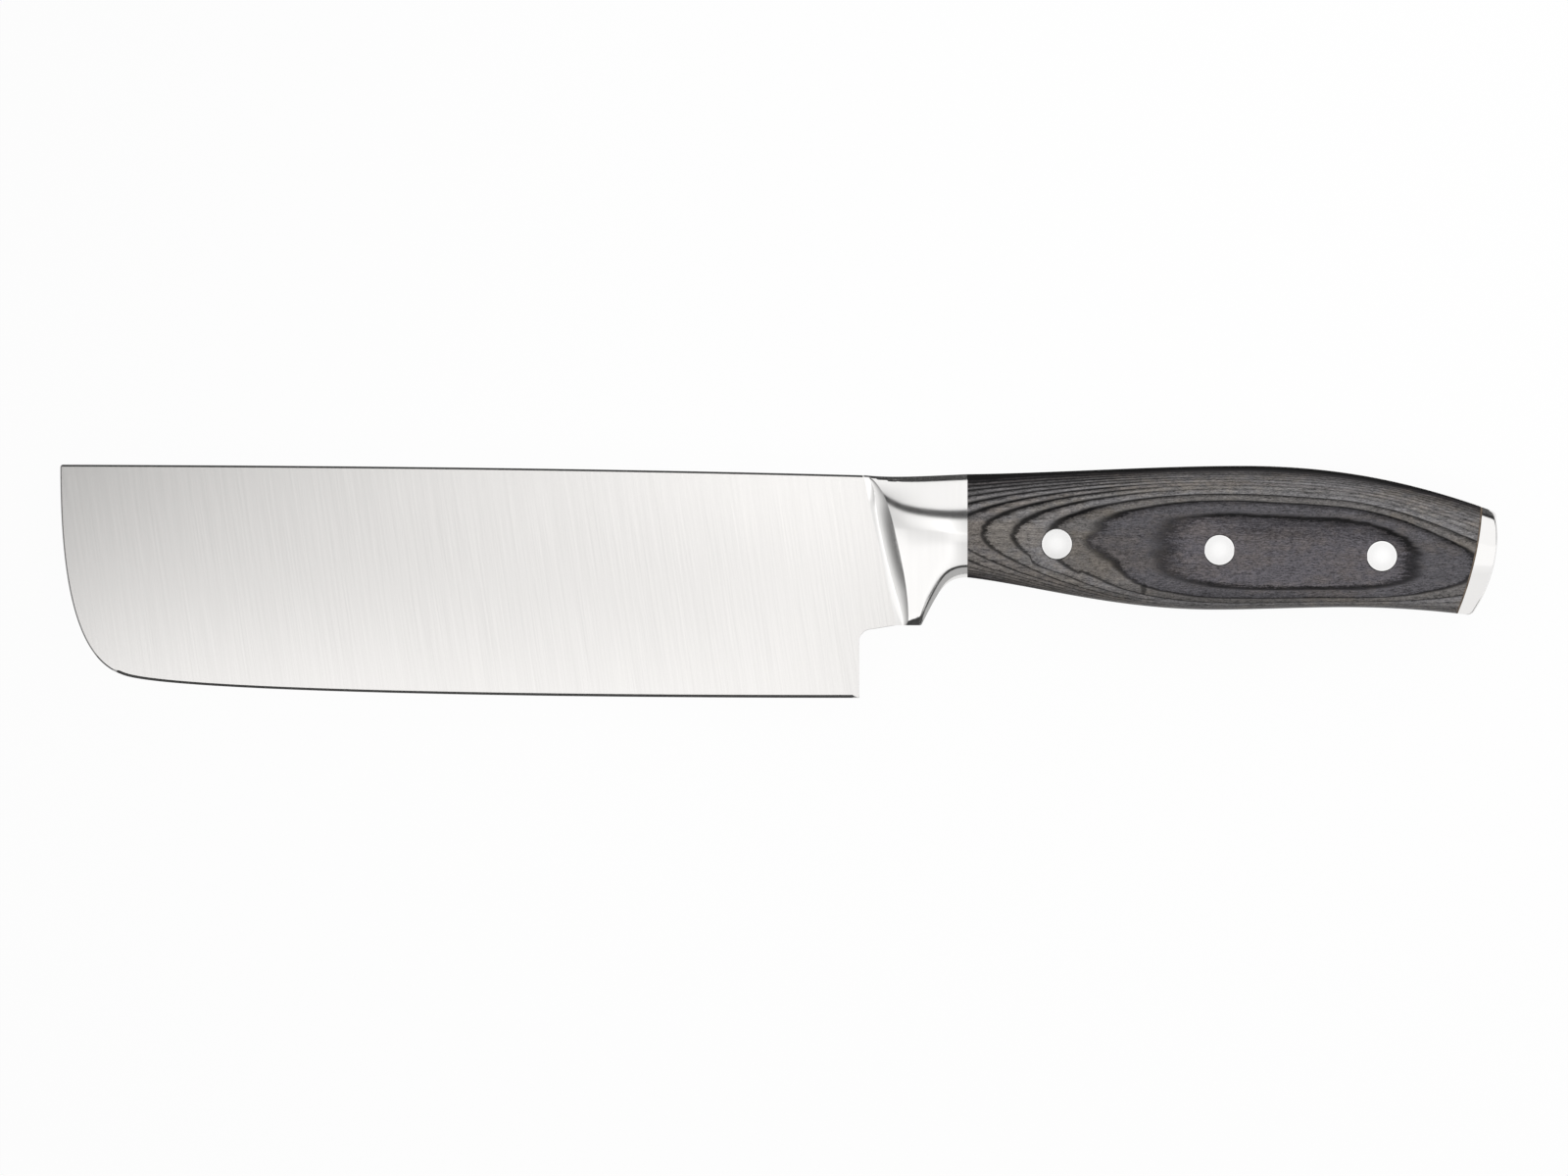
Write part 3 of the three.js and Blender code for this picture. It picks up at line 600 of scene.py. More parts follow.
def laminatedWood():
    look = woodLook
    paint, wire, shader = newPaint("laminatedWood", {"Specular IOR Level": look["specular"]})
    place = ownPlace(wire)
    along, up, out = (axis - float(start) for axis, start in zip(place, shift))
    side = up + along * (handle["crownFall"] / handle["length"])
    wander, streak, fibre, speck, cloud, mottle, gate = (
        grain(wire, place, *settings) for settings in look["grains"].values())
    depth = abs(out) + wander * look["wander"]
    depth = depth + (streak + fibre + speck * look["featherSpecks"]) * look["feather"]
    depth = depth - oval(wire, along, up, look["hollow"]) * look["hollow"]["depth"]
    depth = depth + oval(wire, along, up, look["nose"]) * look["nose"]["depth"]
    level = (depth - look["firstLine"]) / look["pitch"]
    away = (level - wire.sum("ROUND", level)) * look["pitch"]  # mm above the nearest glue line
    above = ramp(wire, side, *look["above"])
    behind = ramp(wire, along, *look["behind"])
    deep = ramp(wire, depth, *look["deep"])

    # the lines are blackest above the crown, soft where the outer rings close and faint in the deep layers
    core = 1.0 - ramp(wire, abs(away) * (1.0 - look["coreWiden"] * above * (1.0 - behind)), *look["core"])
    core = core * mix(look["coreBelow"], 1.0, above) * (1.0 - look["coreDeep"] * deep * behind)
    closing = ramp(wire, along - (depth - look["firstLine"]) * look["closingReach"], *look["closing"])
    softReach, softLevel = look["softLine"]
    core = mix(core, (1.0 - ramp(wire, abs(away), 0.0, softReach)) * softLevel, closing)
    halo = wire.sum("MAXIMUM", stain(wire, away, *look["haloOut"]), stain(wire, away * -1.0, *look["haloIn"]))
    halo = halo * mix(look["haloBelow"], 1.0, above) * (1.0 - look["haloDeep"] * deep * behind)
    halo = halo * (1.0 - closing)
    line = wire.sum("MAXIMUM", core, halo) * (look["lineLevel"] + cloud * look["lineClouds"])

    # the veneers' shade: streaks, fibres, pale threads, the darker lower side and a knot in the left scale
    # the deepest layers' near-black colours are partly a dark liner and partly painted shade along the steep
    # top edge
    count = len(look["veneersAndEdgeShade"])
    stops = [(k / count, colour) for k, colour in enumerate(look["veneersAndEdgeShade"])]
    layer = (1.0 - level) / count
    veneer = wire.node("ValToRGB", dict(interpolation="CONSTANT", stops=stops), {"Fac": layer})
    thread = look["pale"]
    pale = 1.0 - ramp(wire, abs(abs(away) - thread["at"]), *thread["width"])
    pale = pale * ramp(wire, gate, *thread["gate"]) * ramp(wire, depth, *thread["depth"]) * above
    shade = 1.0 + streak * look["streaks"] * mix(look["outerStreaks"], 1.0, deep)
    shade = shade + fibre * look["fibres"] + speck * look["specks"]
    shade = shade + mottle * look["mottle"] + pale * thread["level"]
    knot = oval(wire, along, up, look["knot"]) * ramp(wire, out, 0.0, 1.0)
    shade = wire.sum("MAXIMUM", shade, look["leastShade"]) * look["level"]
    shade = shade * (1.0 - look["lowDark"] * ramp(wire, side, *look["low"]))
    shade = shade * (1.0 - look["knot"]["dark"] * knot)

    tone = look["warmth"]
    brown = cloud * tone["clouds"] + mottle * tone["mottle"] + (1.0 - above) * (1.0 - behind) * tone["front"]
    warm = blend(wire, ramp(wire, brown, *tone["over"]), tone["cool"], tone["brown"])
    tinted = wire.node("VectorMath", dict(operation="MULTIPLY"), {0: veneer, 1: warm})
    join(wire, blend(wire, line, scaled(wire, tinted, shade), (*look["line"], 1.0)), shader, "Base Color")
    join(wire, look["rough"] + fibre * look["roughFibres"] + line * look["roughLines"], shader, "Roughness")
    height = streak + fibre * look["bumpFibres"] - line * look["bumpLines"]
    bump(wire, shader, height, *look["bump"])
    return paint


resinStrip = dict(
    inset=0.03, reach=12.0, columns=3, rough=0.6, specular=0.2, cloud=((2.0, 1.2, 1.2), 3.0, 0.6),
    stops=[(0.3, (0.075, 0.055, 0.04)), (0.7, (0.21, 0.165, 0.125))],
)


def resinLine():
    r = resinStrip
    flat = {"Roughness": r["rough"], "Specular IOR Level": r["specular"]}
    paint, wire, shader = newPaint("resinLine", flat)
    cloud = grain(wire, ownPlace(wire), *r["cloud"]) + 0.5
    join(wire, wire.node("ValToRGB", dict(stops=r["stops"]), {"Fac": cloud}), shader, "Base Color")
    return paint


rivetSpots = []
for i in range(3):
    rivetX = rivet["front"] + rivet["pitch"] * i
    rivetSpots.append((rivetX, -rivet["drop"] - rivet["fall"] * rivetX))

satin = steel("satinSteel", satinLook)
polish = steel("bolsterPolish", polishLook)
capPolish = steel("capPolish", capLook)
rivetPolish = steel("rivetPolish", rivetLook, [(x + shift[0], y + shift[1]) for x, y in rivetSpots])
wood = laminatedWood()
resin = resinLine()
print("materials ready")


# Forging: blade, neck and bolster in one skin, and the tang behind it

def bolsterPoint(share, swing):
    s = bolster
    lowX, highX = -s["guardFront"] * (1 - share), sweepTopX * (1 - share)
    low, high = undersideAt(lowX), heightAt(fullSpine, highX)
    section = bolsterSection(share, high, low)
    y, z = sectionPoint(section, swing)
    rim = guardRim(section, lowX, y)
    z = np.where(y < section["crown"], mix(z, rim, smoothStep((share - s["rimFrom"]) / s["rimOver"])), z)
    return mix(lowX, highX, (y - low) / (high - low)), y, z


# below the crown the guard's face falls gently to a line, and from there its rim turns down to the edge
def guardRim(section, lowX, y):
    s = bolster
    toe = np.clip((lowX + s["guardFront"]) / (s["guardFront"] - s["guardBack"]), 0, 1)
    behind = (lowX + s["guardBack"]) / s["rimGrowth"]  # along the finger curve
    band = mix(mix(*s["toeWidth"], toe), s["rimWidth"], np.clip(behind, 0, 1))
    out = section["crown"] - y
    inner = section["crown"] - section["bottom"] - band
    line = np.maximum(section["half"] - 0.5 * s["faceSlope"] * inner, mix(*s["rimFoot"], toe))
    face = section["half"] - (section["half"] - line) * np.clip(out / inner, 0, None) ** 2
    run = np.clip((out - inner) / band, 0.0, 1.0)
    step = 0.5  # the edge's slant is taken over a millimetre
    lean = undersideAt(lowX + step) - undersideAt(np.maximum(lowX - step, -s["guardFront"]))
    square = 1 / np.sqrt(1 + lean ** 2)  # where the edge slants, the band is narrower square to it
    curved = face - band * square * (s["rimSlope"] * run + s["rimTurn"] * run ** 2)
    straight = np.where(run > 0, line - s["toeSlope"] * band * run, face)
    return np.maximum(mix(straight, curved, smoothStep(2 * behind)), s["rimLeast"])


def sweepLift(x, y):
    s = bolster
    leanX, leanY = sweepTopX + s["guardFront"], s["shoulder"] + s["guardDepth"]
    startX = mix(-s["guardFront"], sweepTopX, (y + s["guardDepth"]) / leanY)
    away = np.clip((x - startX) * leanY / math.hypot(leanX, leanY), 0.0, s["sweepRadius"])
    return s["sweepRadius"] - np.sqrt(s["sweepRadius"] ** 2 - away ** 2)


# Where the hollow sweep meets the bolster's face, as a share of the bolster's length on each row
def arrisShares():
    shares = np.linspace(0.0, bolster["searchTo"], bolster["searchSteps"])
    x, y, z = bolsterPoint(shares[:, None], rows[None, :])
    over = z - bladeHalf(x, y) - sweepLift(x, y)
    found = np.zeros(len(rows))
    for j in range(len(rows)):
        k = int(np.argmax(over[:, j] <= 0))
        if k > 0:
            before, after = over[k - 1, j], over[k, j]
            found[j] = shares[k - 1] + (shares[k] - shares[k - 1]) * before / (before - after)
    return found


# The chamfer along the spine runs on over the hollow sweep, until the bolster's own one takes over
def breakTop(points, normals, shares, ownEnd):
    b = blade
    run = np.clip(shares / bolster["breakTo"], 0.0, 1.0)
    end = mix(b["spineThickness"] / 2 - b["breakSlope"] * b["spineBreak"], ownEnd, run ** 2)
    slope = mix(b["breakSlope"], handle["rimSlope"], run)
    chamfer = end + slope * (points[:, :1, 1] - points[:, :, 1])
    cut = (run < 1) & (chamfer < points[:, :, 2])
    points[cut, 2] = chamfer[cut]
    normals[cut] = unit(np.stack([slope * 0, slope, slope * 0 + 1], -1))[cut]


def forgingSkin():
    skin, s, b = Skin(), bolster, blade
    arris = arrisShares()

    # hollow sweep, then the bolster's face
    sweepShares = np.linspace(0, 1, s["sweepColumns"])[:, None] * arris[None, :]
    x, y, z = bolsterPoint(sweepShares, rows[None, :])
    rise, width = (z - bladeHalf(x, y))[-1], np.hypot(x[-1] - x[0], y[-1] - y[0])
    # steep at the arris, and where it is low it starts nearer to it
    power = mix(*s["sweepPower"], smoothStep(rise / s["powerRise"]))
    used = np.clip(rise * power / s["sweepSlope"] / np.maximum(width, 0.01), s["sweepLeast"], 1.0)
    run = np.clip((np.linspace(0, 1, s["sweepColumns"])[:, None] - 1 + used) / used, 0.0, 1.0)
    lift = rise * run ** power
    sweep = np.stack([x, y, bladeHalf(x, y) + lift], -1)
    faceShares = mix(arris[None, :], 1.0, np.linspace(0, 1, s["faceColumns"])[:, None] ** s["faceGather"])
    x, y, z = bolsterPoint(faceShares, rows[None, :])
    face = np.stack([x, y, z], -1)
    ownEnd = np.interp(s["breakTo"], faceShares[:, 0], face[:, 0, 2])
    sweepNormals, faceNormals = -gridNormals(sweep), -gridNormals(face)
    breakTop(sweep[1:], sweepNormals[1:], sweepShares[1:], ownEnd)
    breakTop(face, faceNormals, faceShares, ownEnd)
    face[0] = sweep[-1]
    skin.grid(sweep, sweepNormals, 1)
    skin.grid(face, faceNormals, 1)

    # upper and lower walls of the bolster, and its back
    upper = np.vstack([sweep[:, 0], face[1:, 0]])
    lower = np.vstack([sweep[:, -1], face[1:, -1]])
    wall(skin, upper, -lineNormals(upper), 1)
    wall(skin, lower, lineNormals(lower), 1)
    back = face[-1]
    skin.flat(np.vstack([back, (0, back[-1, 1], 0), (0, back[0, 1], 0)]), (1, 0, 0), 1)

    # the blade's outline, walked with the steel on its left: neck, heel, edge, tip, spine
    start = sweep[0]
    notchTurn = np.linspace(0, math.pi / 2, b["notchSteps"])[1:]
    neckX = np.concatenate([np.linspace(-s["guardFront"], heelX + s["notchRadius"], b["neckSteps"]),
                            heelX + s["notchRadius"] * (1 - np.sin(notchTurn))])
    neck = np.stack([neckX, undersideAt(neckX)], -1)
    heelY = np.linspace(neck[-1, 1], -b["heelDepth"], b["heelSteps"] + 1)[1:]
    heel = np.stack([np.full(len(heelY), heelX), heelY], -1)
    edge = edgeLine[::-1][::b["edgeStride"]]
    tip = tipLine[::-1][::b["tipStride"]]
    spine = spineLine[spineLine[:, 0] < sweepTopX][::b["edgeStride"]]
    tip = tip[tip[:, 1] < spine[0, 1] - b["tipRound"]]
    turn = np.linspace(0, math.pi / 2, b["cornerSteps"])  # the tip's upper corner
    corner = np.stack([tip[-1, 0] + b["tipRound"] * (1 - np.cos(turn)),
                       spine[0, 1] - b["tipRound"] * (1 - np.sin(turn))], -1)
    firstX, lastX = corner[-1, 0] + b["cornerGap"], sweepTopX - b["sweepGap"]
    spine = spine[(spine[:, 0] > firstX) & (spine[:, 0] < lastX)]
    spine = np.vstack([spine, (lastX, heightAt(spineLine, lastX)), start[0, :2]])
    parts = [("neck", neck), ("heel", heel), ("edge", edge[1:]), ("tip", tip[1:]), ("corner", corner[1:]),
             ("spine", spine)]
    line = np.vstack([part for name, part in parts])
    kind = np.concatenate([[name] * len(part) for name, part in parts])

    # how far each edge is worked back from the outline: ground to the cutting edge, broken or rounded
    inset = np.zeros(len(line))
    inset[kind == "neck"] = b["heelRound"] * smoothStep((-s["guardFront"] - neck[:, 0]) / b["roundRun"])
    inset[kind == "heel"] = b["heelRound"]
    ground = (kind == "edge").astype(float)
    ground[kind == "tip"] = 1 - smoothStep(np.linspace(0, 1, np.sum(kind == "tip")) / b["grindEnd"])
    bevel = (bladeHalf(line[:, 0], line[:, 1]) - b["edgeLand"] / 2) / b["bevelSlope"]
    inset[kind == "edge"] = bevel[kind == "edge"]
    inset[kind == "tip"] = mix(b["tipBreak"], bevel, ground)[kind == "tip"]
    turned = np.linspace(0, 1, np.sum(kind == "corner"))
    inset[kind == "corner"] = mix(b["tipBreak"], b["spineBreak"], turned)
    inset[kind == "spine"] = b["spineBreak"]
    inset[-1] = 0.0
    rounded = (kind == "neck") | (kind == "heel")
    step = np.vstack([line[1:] - line[:-1], line[-1:] - line[-2:-1]])
    segment = unit(np.stack([-step[:, 1], step[:, 0]], -1))
    outward = unit(np.vstack([segment[:1], segment[:-1]]) + segment)
    miter = 1 / np.maximum(np.sum(outward * segment, 1), b["miterLeast"])  # not drawn out at sharp corners
    inner = line - outward * (inset * miter)[:, None]
    slopeX = b["distalTaper"] / b["length"] / 2
    slopeY = (b["spineThickness"] - b["edgeThickness"]) / (s["shoulder"] + b["heelDepth"]) / 2
    faceNormal = unit(np.array([-slopeX, -slopeY, 1.0]))
    top = bladeHalf(inner[:, 0], inner[:, 1])
    skin.flat(np.vstack([raised(inner, top), start[1:]]), faceNormal)

    end = np.maximum(mix(top - b["breakSlope"] * inset, b["edgeLand"] / 2, ground), b["edgeLand"] / 2)
    fall = (top - end) / np.maximum(inset, 1e-6)
    flatNormal = unit(raised(outward * fall[:, None], 1.0))
    strip = np.zeros((len(line), b["stripRows"], 3))
    stripNormals = np.zeros_like(strip)
    for k, share in enumerate(np.linspace(0, 1, strip.shape[1])):
        turn = share * math.pi / 2
        flat = raised(mix(inner, line, share), mix(top, end, share))
        curved = raised(mix(inner, line, math.sin(turn)), top - inset * (1 - math.cos(turn)))
        curvedNormal = raised(outward * math.sin(turn), math.cos(turn))
        strip[:, k] = np.where(rounded[:, None], curved, flat)
        stripNormals[:, k] = np.where(rounded[:, None], curvedNormal, flatNormal)
    skin.grid(strip, stripNormals, 1)
    wall(skin, raised(line, strip[:, -1, 2]), outward, 1)

    tangSkin(skin)
    skin.mirror()
    return skin


# The cap's curved front, or a face ahead of it
def capFace(y, gap=0.0):
    c = cap
    bow = np.sqrt(c["faceRadius"] ** 2 - (y - c["faceCentre"]) ** 2) - c["faceRadius"]
    return handle["length"] - (c["length"] + gap) + bow


def woodEnd(y):
    return capFace(y, cap["gap"])


tang = dict(proud=0.12, proudFrom=40.0, proudFull=95.0, stations=120, endSteps=24, root=0.4, rootInset=0.03)


def tangSkin(skin):
    t, h = tang, handle

    def edgeOf(line, proud):
        end = h["length"]
        for _ in range(20):  # settles where the line meets the cap
            end = float(woodEnd(heightAt(line, end)))
        x = np.linspace(0, end, t["stations"])
        y = heightAt(line, x) + proud * smoothStep((x - t["proudFrom"]) / (t["proudFull"] - t["proudFrom"]))
        x[0], y[0] = -t["root"], y[0] - np.sign(y[0]) * t["rootInset"]  # it grows out of the bolster
        return np.stack([x, y], -1)

    top, bottom = edgeOf(handleTopLine, t["proud"]), edgeOf(handleBottomLine, 0.0)
    endY = np.linspace(top[-1, 1], bottom[-1, 1], t["endSteps"])
    end = np.stack([woodEnd(endY), endY], -1)
    end[0], end[-1] = top[-1], bottom[-1]
    front = np.array([bottom[0], top[0]])
    for line, facing in ((top, -1), (bottom, 1), (end, -1), (front, -1)):
        wall(skin, raised(line, h["tangHalf"]), facing * lineNormals(line))
    skin.flat(raised(np.vstack([top, end[1:-1], bottom[::-1]]), h["tangHalf"]), (0, 0, 1))


forgingSkin().build("forging", [satin, polish], "blade_steel", ["blade_and_tang"])


# Scales: the handle's form ahead of the cap, with a counterbore for each rivet's head

def handleGrid(front, back, stations):
    swing = rows[None, :]
    x = mix(front(np.zeros(1)), back(np.zeros(1)), stations[:, None]) + np.zeros((1, len(rows)))
    for _ in range(30):  # the ends curve, so x and y settle together
        y, z = sectionPoint(handleSection(x), swing)
        x = mix(front(y), back(y), stations[:, None])
    # the guard's rim runs out along the lower edge
    section = handleSection(x)
    rim = guardRim(section, np.zeros_like(x), y)
    z = np.where(y < section["crown"], mix(z, rim, 1 - smoothStep(x / handle["rimRun"])), z)
    return np.stack([x, y, z], -1)


def seatAt(x):  # the floor of a counterbore
    return float(handleSection(np.array(x))["half"]) - rivet["headDepth"]


def scaleSkin():
    skin, h, r = Skin(), handle, rivet
    points = handleGrid(lambda y: y * 0, woodEnd, np.linspace(0, 1, h["columns"]))
    normals = upNormals(points)
    bore = r["head"] / 2 + r["clearance"]
    kept = np.ones((points.shape[0] - 1, points.shape[1] - 1), bool)
    for x, y in rivetSpots:
        away = abs(points[:, h["upperRows"], 0] - x)
        wide = np.nonzero(away < bore + r["patch"])[0]
        tall = np.nonzero(abs(points[int(np.argmin(away)), :, 1] - y) < bore + r["patch"])[0]
        i0, i1, j0, j1 = wide[0] - 1, wide[-1] + 1, tall[0] - 1, tall[-1] + 1
        kept[i0:i1, j0:j1] = False
        ring = ([(i, j0) for i in range(i0, i1)] + [(i1, j) for j in range(j0, j1)]
                + [(i, j1) for i in range(i1, i0, -1)] + [(i0, j) for j in range(j1, j0, -1)])
        ring += ring[:1]
        outer = np.array([points[c] for c in ring])
        angle = np.arctan2(outer[:, 1] - y, outer[:, 0] - x)
        circle = np.stack([x + bore * np.cos(angle), y + bore * np.sin(angle)], -1)
        shares = np.linspace(0, 1, r["rings"]) ** r["patchGather"]
        patch = [onHandle(mix(circle, outer[:, :2], share)) for share in shares[:-1]]
        patch.append((outer, [normals[c] for c in ring]))
        patch, patchNormals = (np.array(part) for part in zip(*patch))
        skin.grid(patch, patchNormals)
        inward = np.column_stack([-np.cos(angle), -np.sin(angle), np.zeros(len(angle))])
        floor = raised(circle, seatAt(x))
        skin.grid(np.stack([patch[0], floor]), np.stack([inward, inward]))
        skin.flat(floor[:-1], (0, 0, 1))
    skin.grid(points, normals, 0, kept)
    # the narrow flats along the top and the bottom, both ends, and the face that lies on the tang
    edges = points[:, 0], points[:, -1]
    upper, lower = (edge * (1, 1, 0) + (0, 0, h["tangHalf"]) for edge in edges)
    for edge, facing in zip(edges, (-1, 1)):
        wall(skin, edge, facing * lineNormals(edge), base=h["tangHalf"])
    for k, side in ((0, -1), (-1, 1)):
        skin.flat(np.vstack([upper[k], points[k], lower[k]]), (side, 0, 0))
    skin.flat(np.vstack([upper, lower[::-1]]), (0, 0, -1))
    return skin


scale = scaleSkin()
scale.build("scaleLeft", [wood], "laminated_wood", ["scale_left"])
scale.flipped().build("scaleRight", [wood], "laminated_wood", ["scale_right"])


# Butt cap, and the resin that shows as a line ahead of it

def rearLine():
    h, c = handle, cap
    lowerX, upperX = h["length"] - c["slant"], h["length"] - c["corner"]
    centre = h["length"] - c["buttRadius"]
    lowerY = float(heightAt(handleBottomLine, lowerX))
    low = -math.asin((-lowerY - c["corner"]) / c["buttRadius"])
    high = math.asin((h["buttTop"] - c["corner"]) / c["buttRadius"])
    turn = np.linspace(low, high, c["arcSteps"])
    arc = np.stack([centre + c["buttRadius"] * np.cos(turn), c["buttRadius"] * np.sin(turn)], -1)

    def corner(a, b, d):
        t = np.linspace(0, 1, c["cornerSteps"])[:, None]
        return (1 - t) ** 2 * np.array(a) + 2 * (1 - t) * t * np.array(b) + t * t * np.array(d)

    first = (lowerX - c["corner"], float(heightAt(handleBottomLine, lowerX - c["corner"])))
    last = (upperX, float(heightAt(handleTopLine, upperX)))
    lower = corner(first, (lowerX, lowerY), arc[0])
    upper = corner(arc[-1], (h["length"], h["buttTop"]), last)
    line = np.vstack([lower, arc[1:-1], upper])
    line[:, 1] = np.maximum.accumulate(line[:, 1]) + np.arange(len(line)) * 1e-7  # always rising
    return line


rear = rearLine()


def capSkin():
    c = cap
    swing = rows[None, :]
    columns = []
    ends = [("run", k / c["columns"]) for k in range(c["columns"])]
    ends += [("round", angle) for angle in np.linspace(0, math.pi / 2, c["roundSteps"] + 1)]
    for kind, value in ends:
        x = np.full((1, len(rows)), handle["length"] - c["length"])
        for _ in range(40):  # settles on the curved ends
            y, z = sectionPoint(handleSection(x), swing)
            last = np.interp(y, rear[:, 1], rear[:, 0])
            if kind == "run":
                x = mix(capFace(y), last - c["rearRound"], value)
            else:
                x = last - c["rearRound"] * (1 - math.sin(value))
        if kind == "round":
            z = z - np.minimum(c["rearRound"], z * c["roundShare"]) * (1 - math.cos(value))
        columns.append(np.stack([x[0], y[0], z[0]], -1))
    return closedSkin(np.array(columns))


capSkin().build("buttCap", [capPolish], "polished_steel", ["butt_cap"])


def resinSkin():
    r = resinStrip
    points = handleGrid(woodEnd, capFace, np.linspace(0, 1, r["columns"]))
    crown = handleSection(points[:, :, 0])["crown"]
    points[:, :, 1] = crown + (points[:, :, 1] - crown) * (1 - r["inset"] / r["reach"])
    points[:, :, 2] -= r["inset"]
    return closedSkin(points)


resinSkin().build("resinLine", [resin], "laminated_wood", [])


# Rivets: each head follows the handle's form and has a softened rim

def rivetSkin(x, y):
    skin, r = Skin(), rivet
    turn = np.linspace(0, 2 * math.pi, r["sides"] + 1)
    radius = r["head"] / 2
    seat = seatAt(x) + r["seatGap"]

    def ring(size):
        return np.stack([x + size * np.cos(turn), y + size * np.sin(turn)], -1)

    out = np.column_stack([np.cos(turn), np.sin(turn), np.zeros(len(turn))])
    points, normals = [], []
    for size in np.linspace(0, radius - r["edgeRound"], r["rings"]):
        place, facing = onHandle(ring(size))
        points.append(place)
        normals.append(facing)
    for angle in np.linspace(0, math.pi / 2, r["roundSteps"])[1:]:
        place, facing = onHandle(ring(radius - r["edgeRound"] * (1 - math.sin(angle))))
        points.append(place - (0, 0, r["edgeRound"] * (1 - math.cos(angle))))
        normals.append(unit(facing * math.cos(angle) + out * math.sin(angle)))
    skin.grid(np.array(points), np.array(normals))
    lower, neck = raised(ring(radius), seat), raised(ring(r["shaft"] / 2), seat)
    end = raised(ring(r["shaft"] / 2), r["shaftEnd"])
    down = np.tile((0, 0, -1), (len(turn), 1))
    for first, last, facing in ((points[-1], lower, out), (lower, neck, down), (neck, end, out)):
        skin.grid(np.stack([first, last]), np.stack([facing, facing]))
    skin.flat(end[:-1], (0, 0, -1))
    return skin


for name, (x, y) in zip(("front", "middle", "rear"), rivetSpots):
    head, title, node = rivetSkin(x, y), "rivet" + name.title(), "rivet_" + name
    head.build(title + "Left", [rivetPolish], "polished_steel", [node + "_socket"])
    head.flipped().build(title + "Right", [rivetPolish], "polished_steel", [node + "_pin"])


# Floor, lamps and camera

studio = dict(
    world=0.05, floorSide=3.0, floorColour=(0.93, 0.93, 0.93), floorGlow=0.95,
    floorRough=0.9, floorSpecks=0.06, floorTone=0.02,
    ceiling=dict(x=(-0.19, 0.36), y=(-0.34, 0.078), z=0.18, radiance=1.48),
    fade=dict(  # the ceiling fades towards the tip, most of all along the spine
        across=(-0.03, 0.015), lowFrom=0.012, level=0.945, rise=1400.0, low=12.0,
        start=-0.02, slope=1.5, slopeAcross=55.0, slopeRise=9700.0, least=0.3,
        heel=0.11, heelOver=(-0.012, 0.016), handle=0.22, handleOver=(0.024, 0.05)),
    joint=dict(dim=0.25, starts=(0.006, 0.026), ends=(0.062, 0.048), sides=(0.01, 0.02)),
    gap=dict(start=0.0475, soft=0.002, ends=(0.09, 0.12)),  # dark slot between the ceiling and the rear box
    front=dict(  # the ceiling's front edge
        edge=-0.175, soft=0.008, rise=0.035, riseOver=(-0.02, 0.035), drop=0.05, dropOver=(0.06, 0.13)),
    rear=dict(
        x=(-0.30, 0.45), near=(0.078, 0.18), far=(0.30, 0.09), radiance=1.1, least=0.25, over=(-0.2, 0.0)),
    frontFill=dict(middle=(0.05, -0.36, 0.12), facing=(0, 1, 0), size=(0.8, 0.20), radiance=0.45),
    leftFill=dict(middle=(-0.45, 0.0, 0.205), facing=(1, 0, 0), size=(0.5, 0.41), radiance=0.98),
    leftFade=dict(least=0.12, over=(0.0, 0.34)),
    rightFill=dict(middle=(0.46, -0.13, 0.15), facing=(-1, 0, 0), size=(0.46, 0.30), radiance=0.85),
)


def lamp(name, middle, facing, size, radiance, pattern=None):
    light = bpy.data.lights.new(name, "AREA")
    light.shape = "RECTANGLE"
    light.size, light.size_y = size
    light.energy = radiance * math.pi * size[0] * size[1]
    if pattern:
        light.use_nodes = True
        wire = Wire(light.node_tree)
        shape = pattern(wire, *axes(wire, wire.node("NewGeometry", out="Position")))
        glow = next(n for n in wire.tree.nodes if n.type == "EMISSION")
        wire.tree.links.new(shape.socket, glow.inputs["Strength"])
    item = linked(name, light)
    item.location = middle
    item.rotation_euler = Vector(facing).to_track_quat("-Z", "Y").to_euler()
    item.visible_camera = False


def ceilingPattern(wire, x, y, z):
    t, j, g, f = (studio[part] for part in ("fade", "joint", "gap", "front"))
    held = wire.sum("MINIMUM", wire.sum("MAXIMUM", y, t["across"][0]), t["across"][1])
    rise = wire.sum("MAXIMUM", held, 0.0) ** 2.0
    low = wire.sum("MAXIMUM", held * -1.0 - t["lowFrom"], 0.0)
    slope = t["slope"] + held * t["slopeAcross"] + rise * t["slopeRise"]
    level = t["level"] + rise * t["rise"] + low * t["low"] + (x - t["start"]) * slope
    level = level + t["heel"] * ramp(wire, x, *t["heelOver"])
    level = wire.sum("MINIMUM", level / studio["ceiling"]["radiance"], 1.0)
    level = wire.sum("MAXIMUM", level, t["least"]) * (1.0 - t["handle"] * ramp(wire, x, *t["handleOver"]))
    joint = ramp(wire, x, *j["starts"]) * ramp(wire, x, *j["ends"]) * ramp(wire, abs(y), *j["sides"])
    level = level * (1.0 - j["dim"] * joint)
    edge = f["edge"] + f["rise"] * ramp(wire, x, *f["riseOver"]) - f["drop"] * ramp(wire, x, *f["dropOver"])
    slot = ramp(wire, y, g["start"] - g["soft"], g["start"] + g["soft"]) * (1.0 - ramp(wire, x, *g["ends"]))
    return level * ramp(wire, y - edge, -f["soft"], f["soft"]) * (1.0 - slot)


def fading(fade, axis):  # dimmer towards one end of an axis
    return lambda wire, *place: mix(fade["least"], 1.0, ramp(wire, place[axis], *fade["over"]))


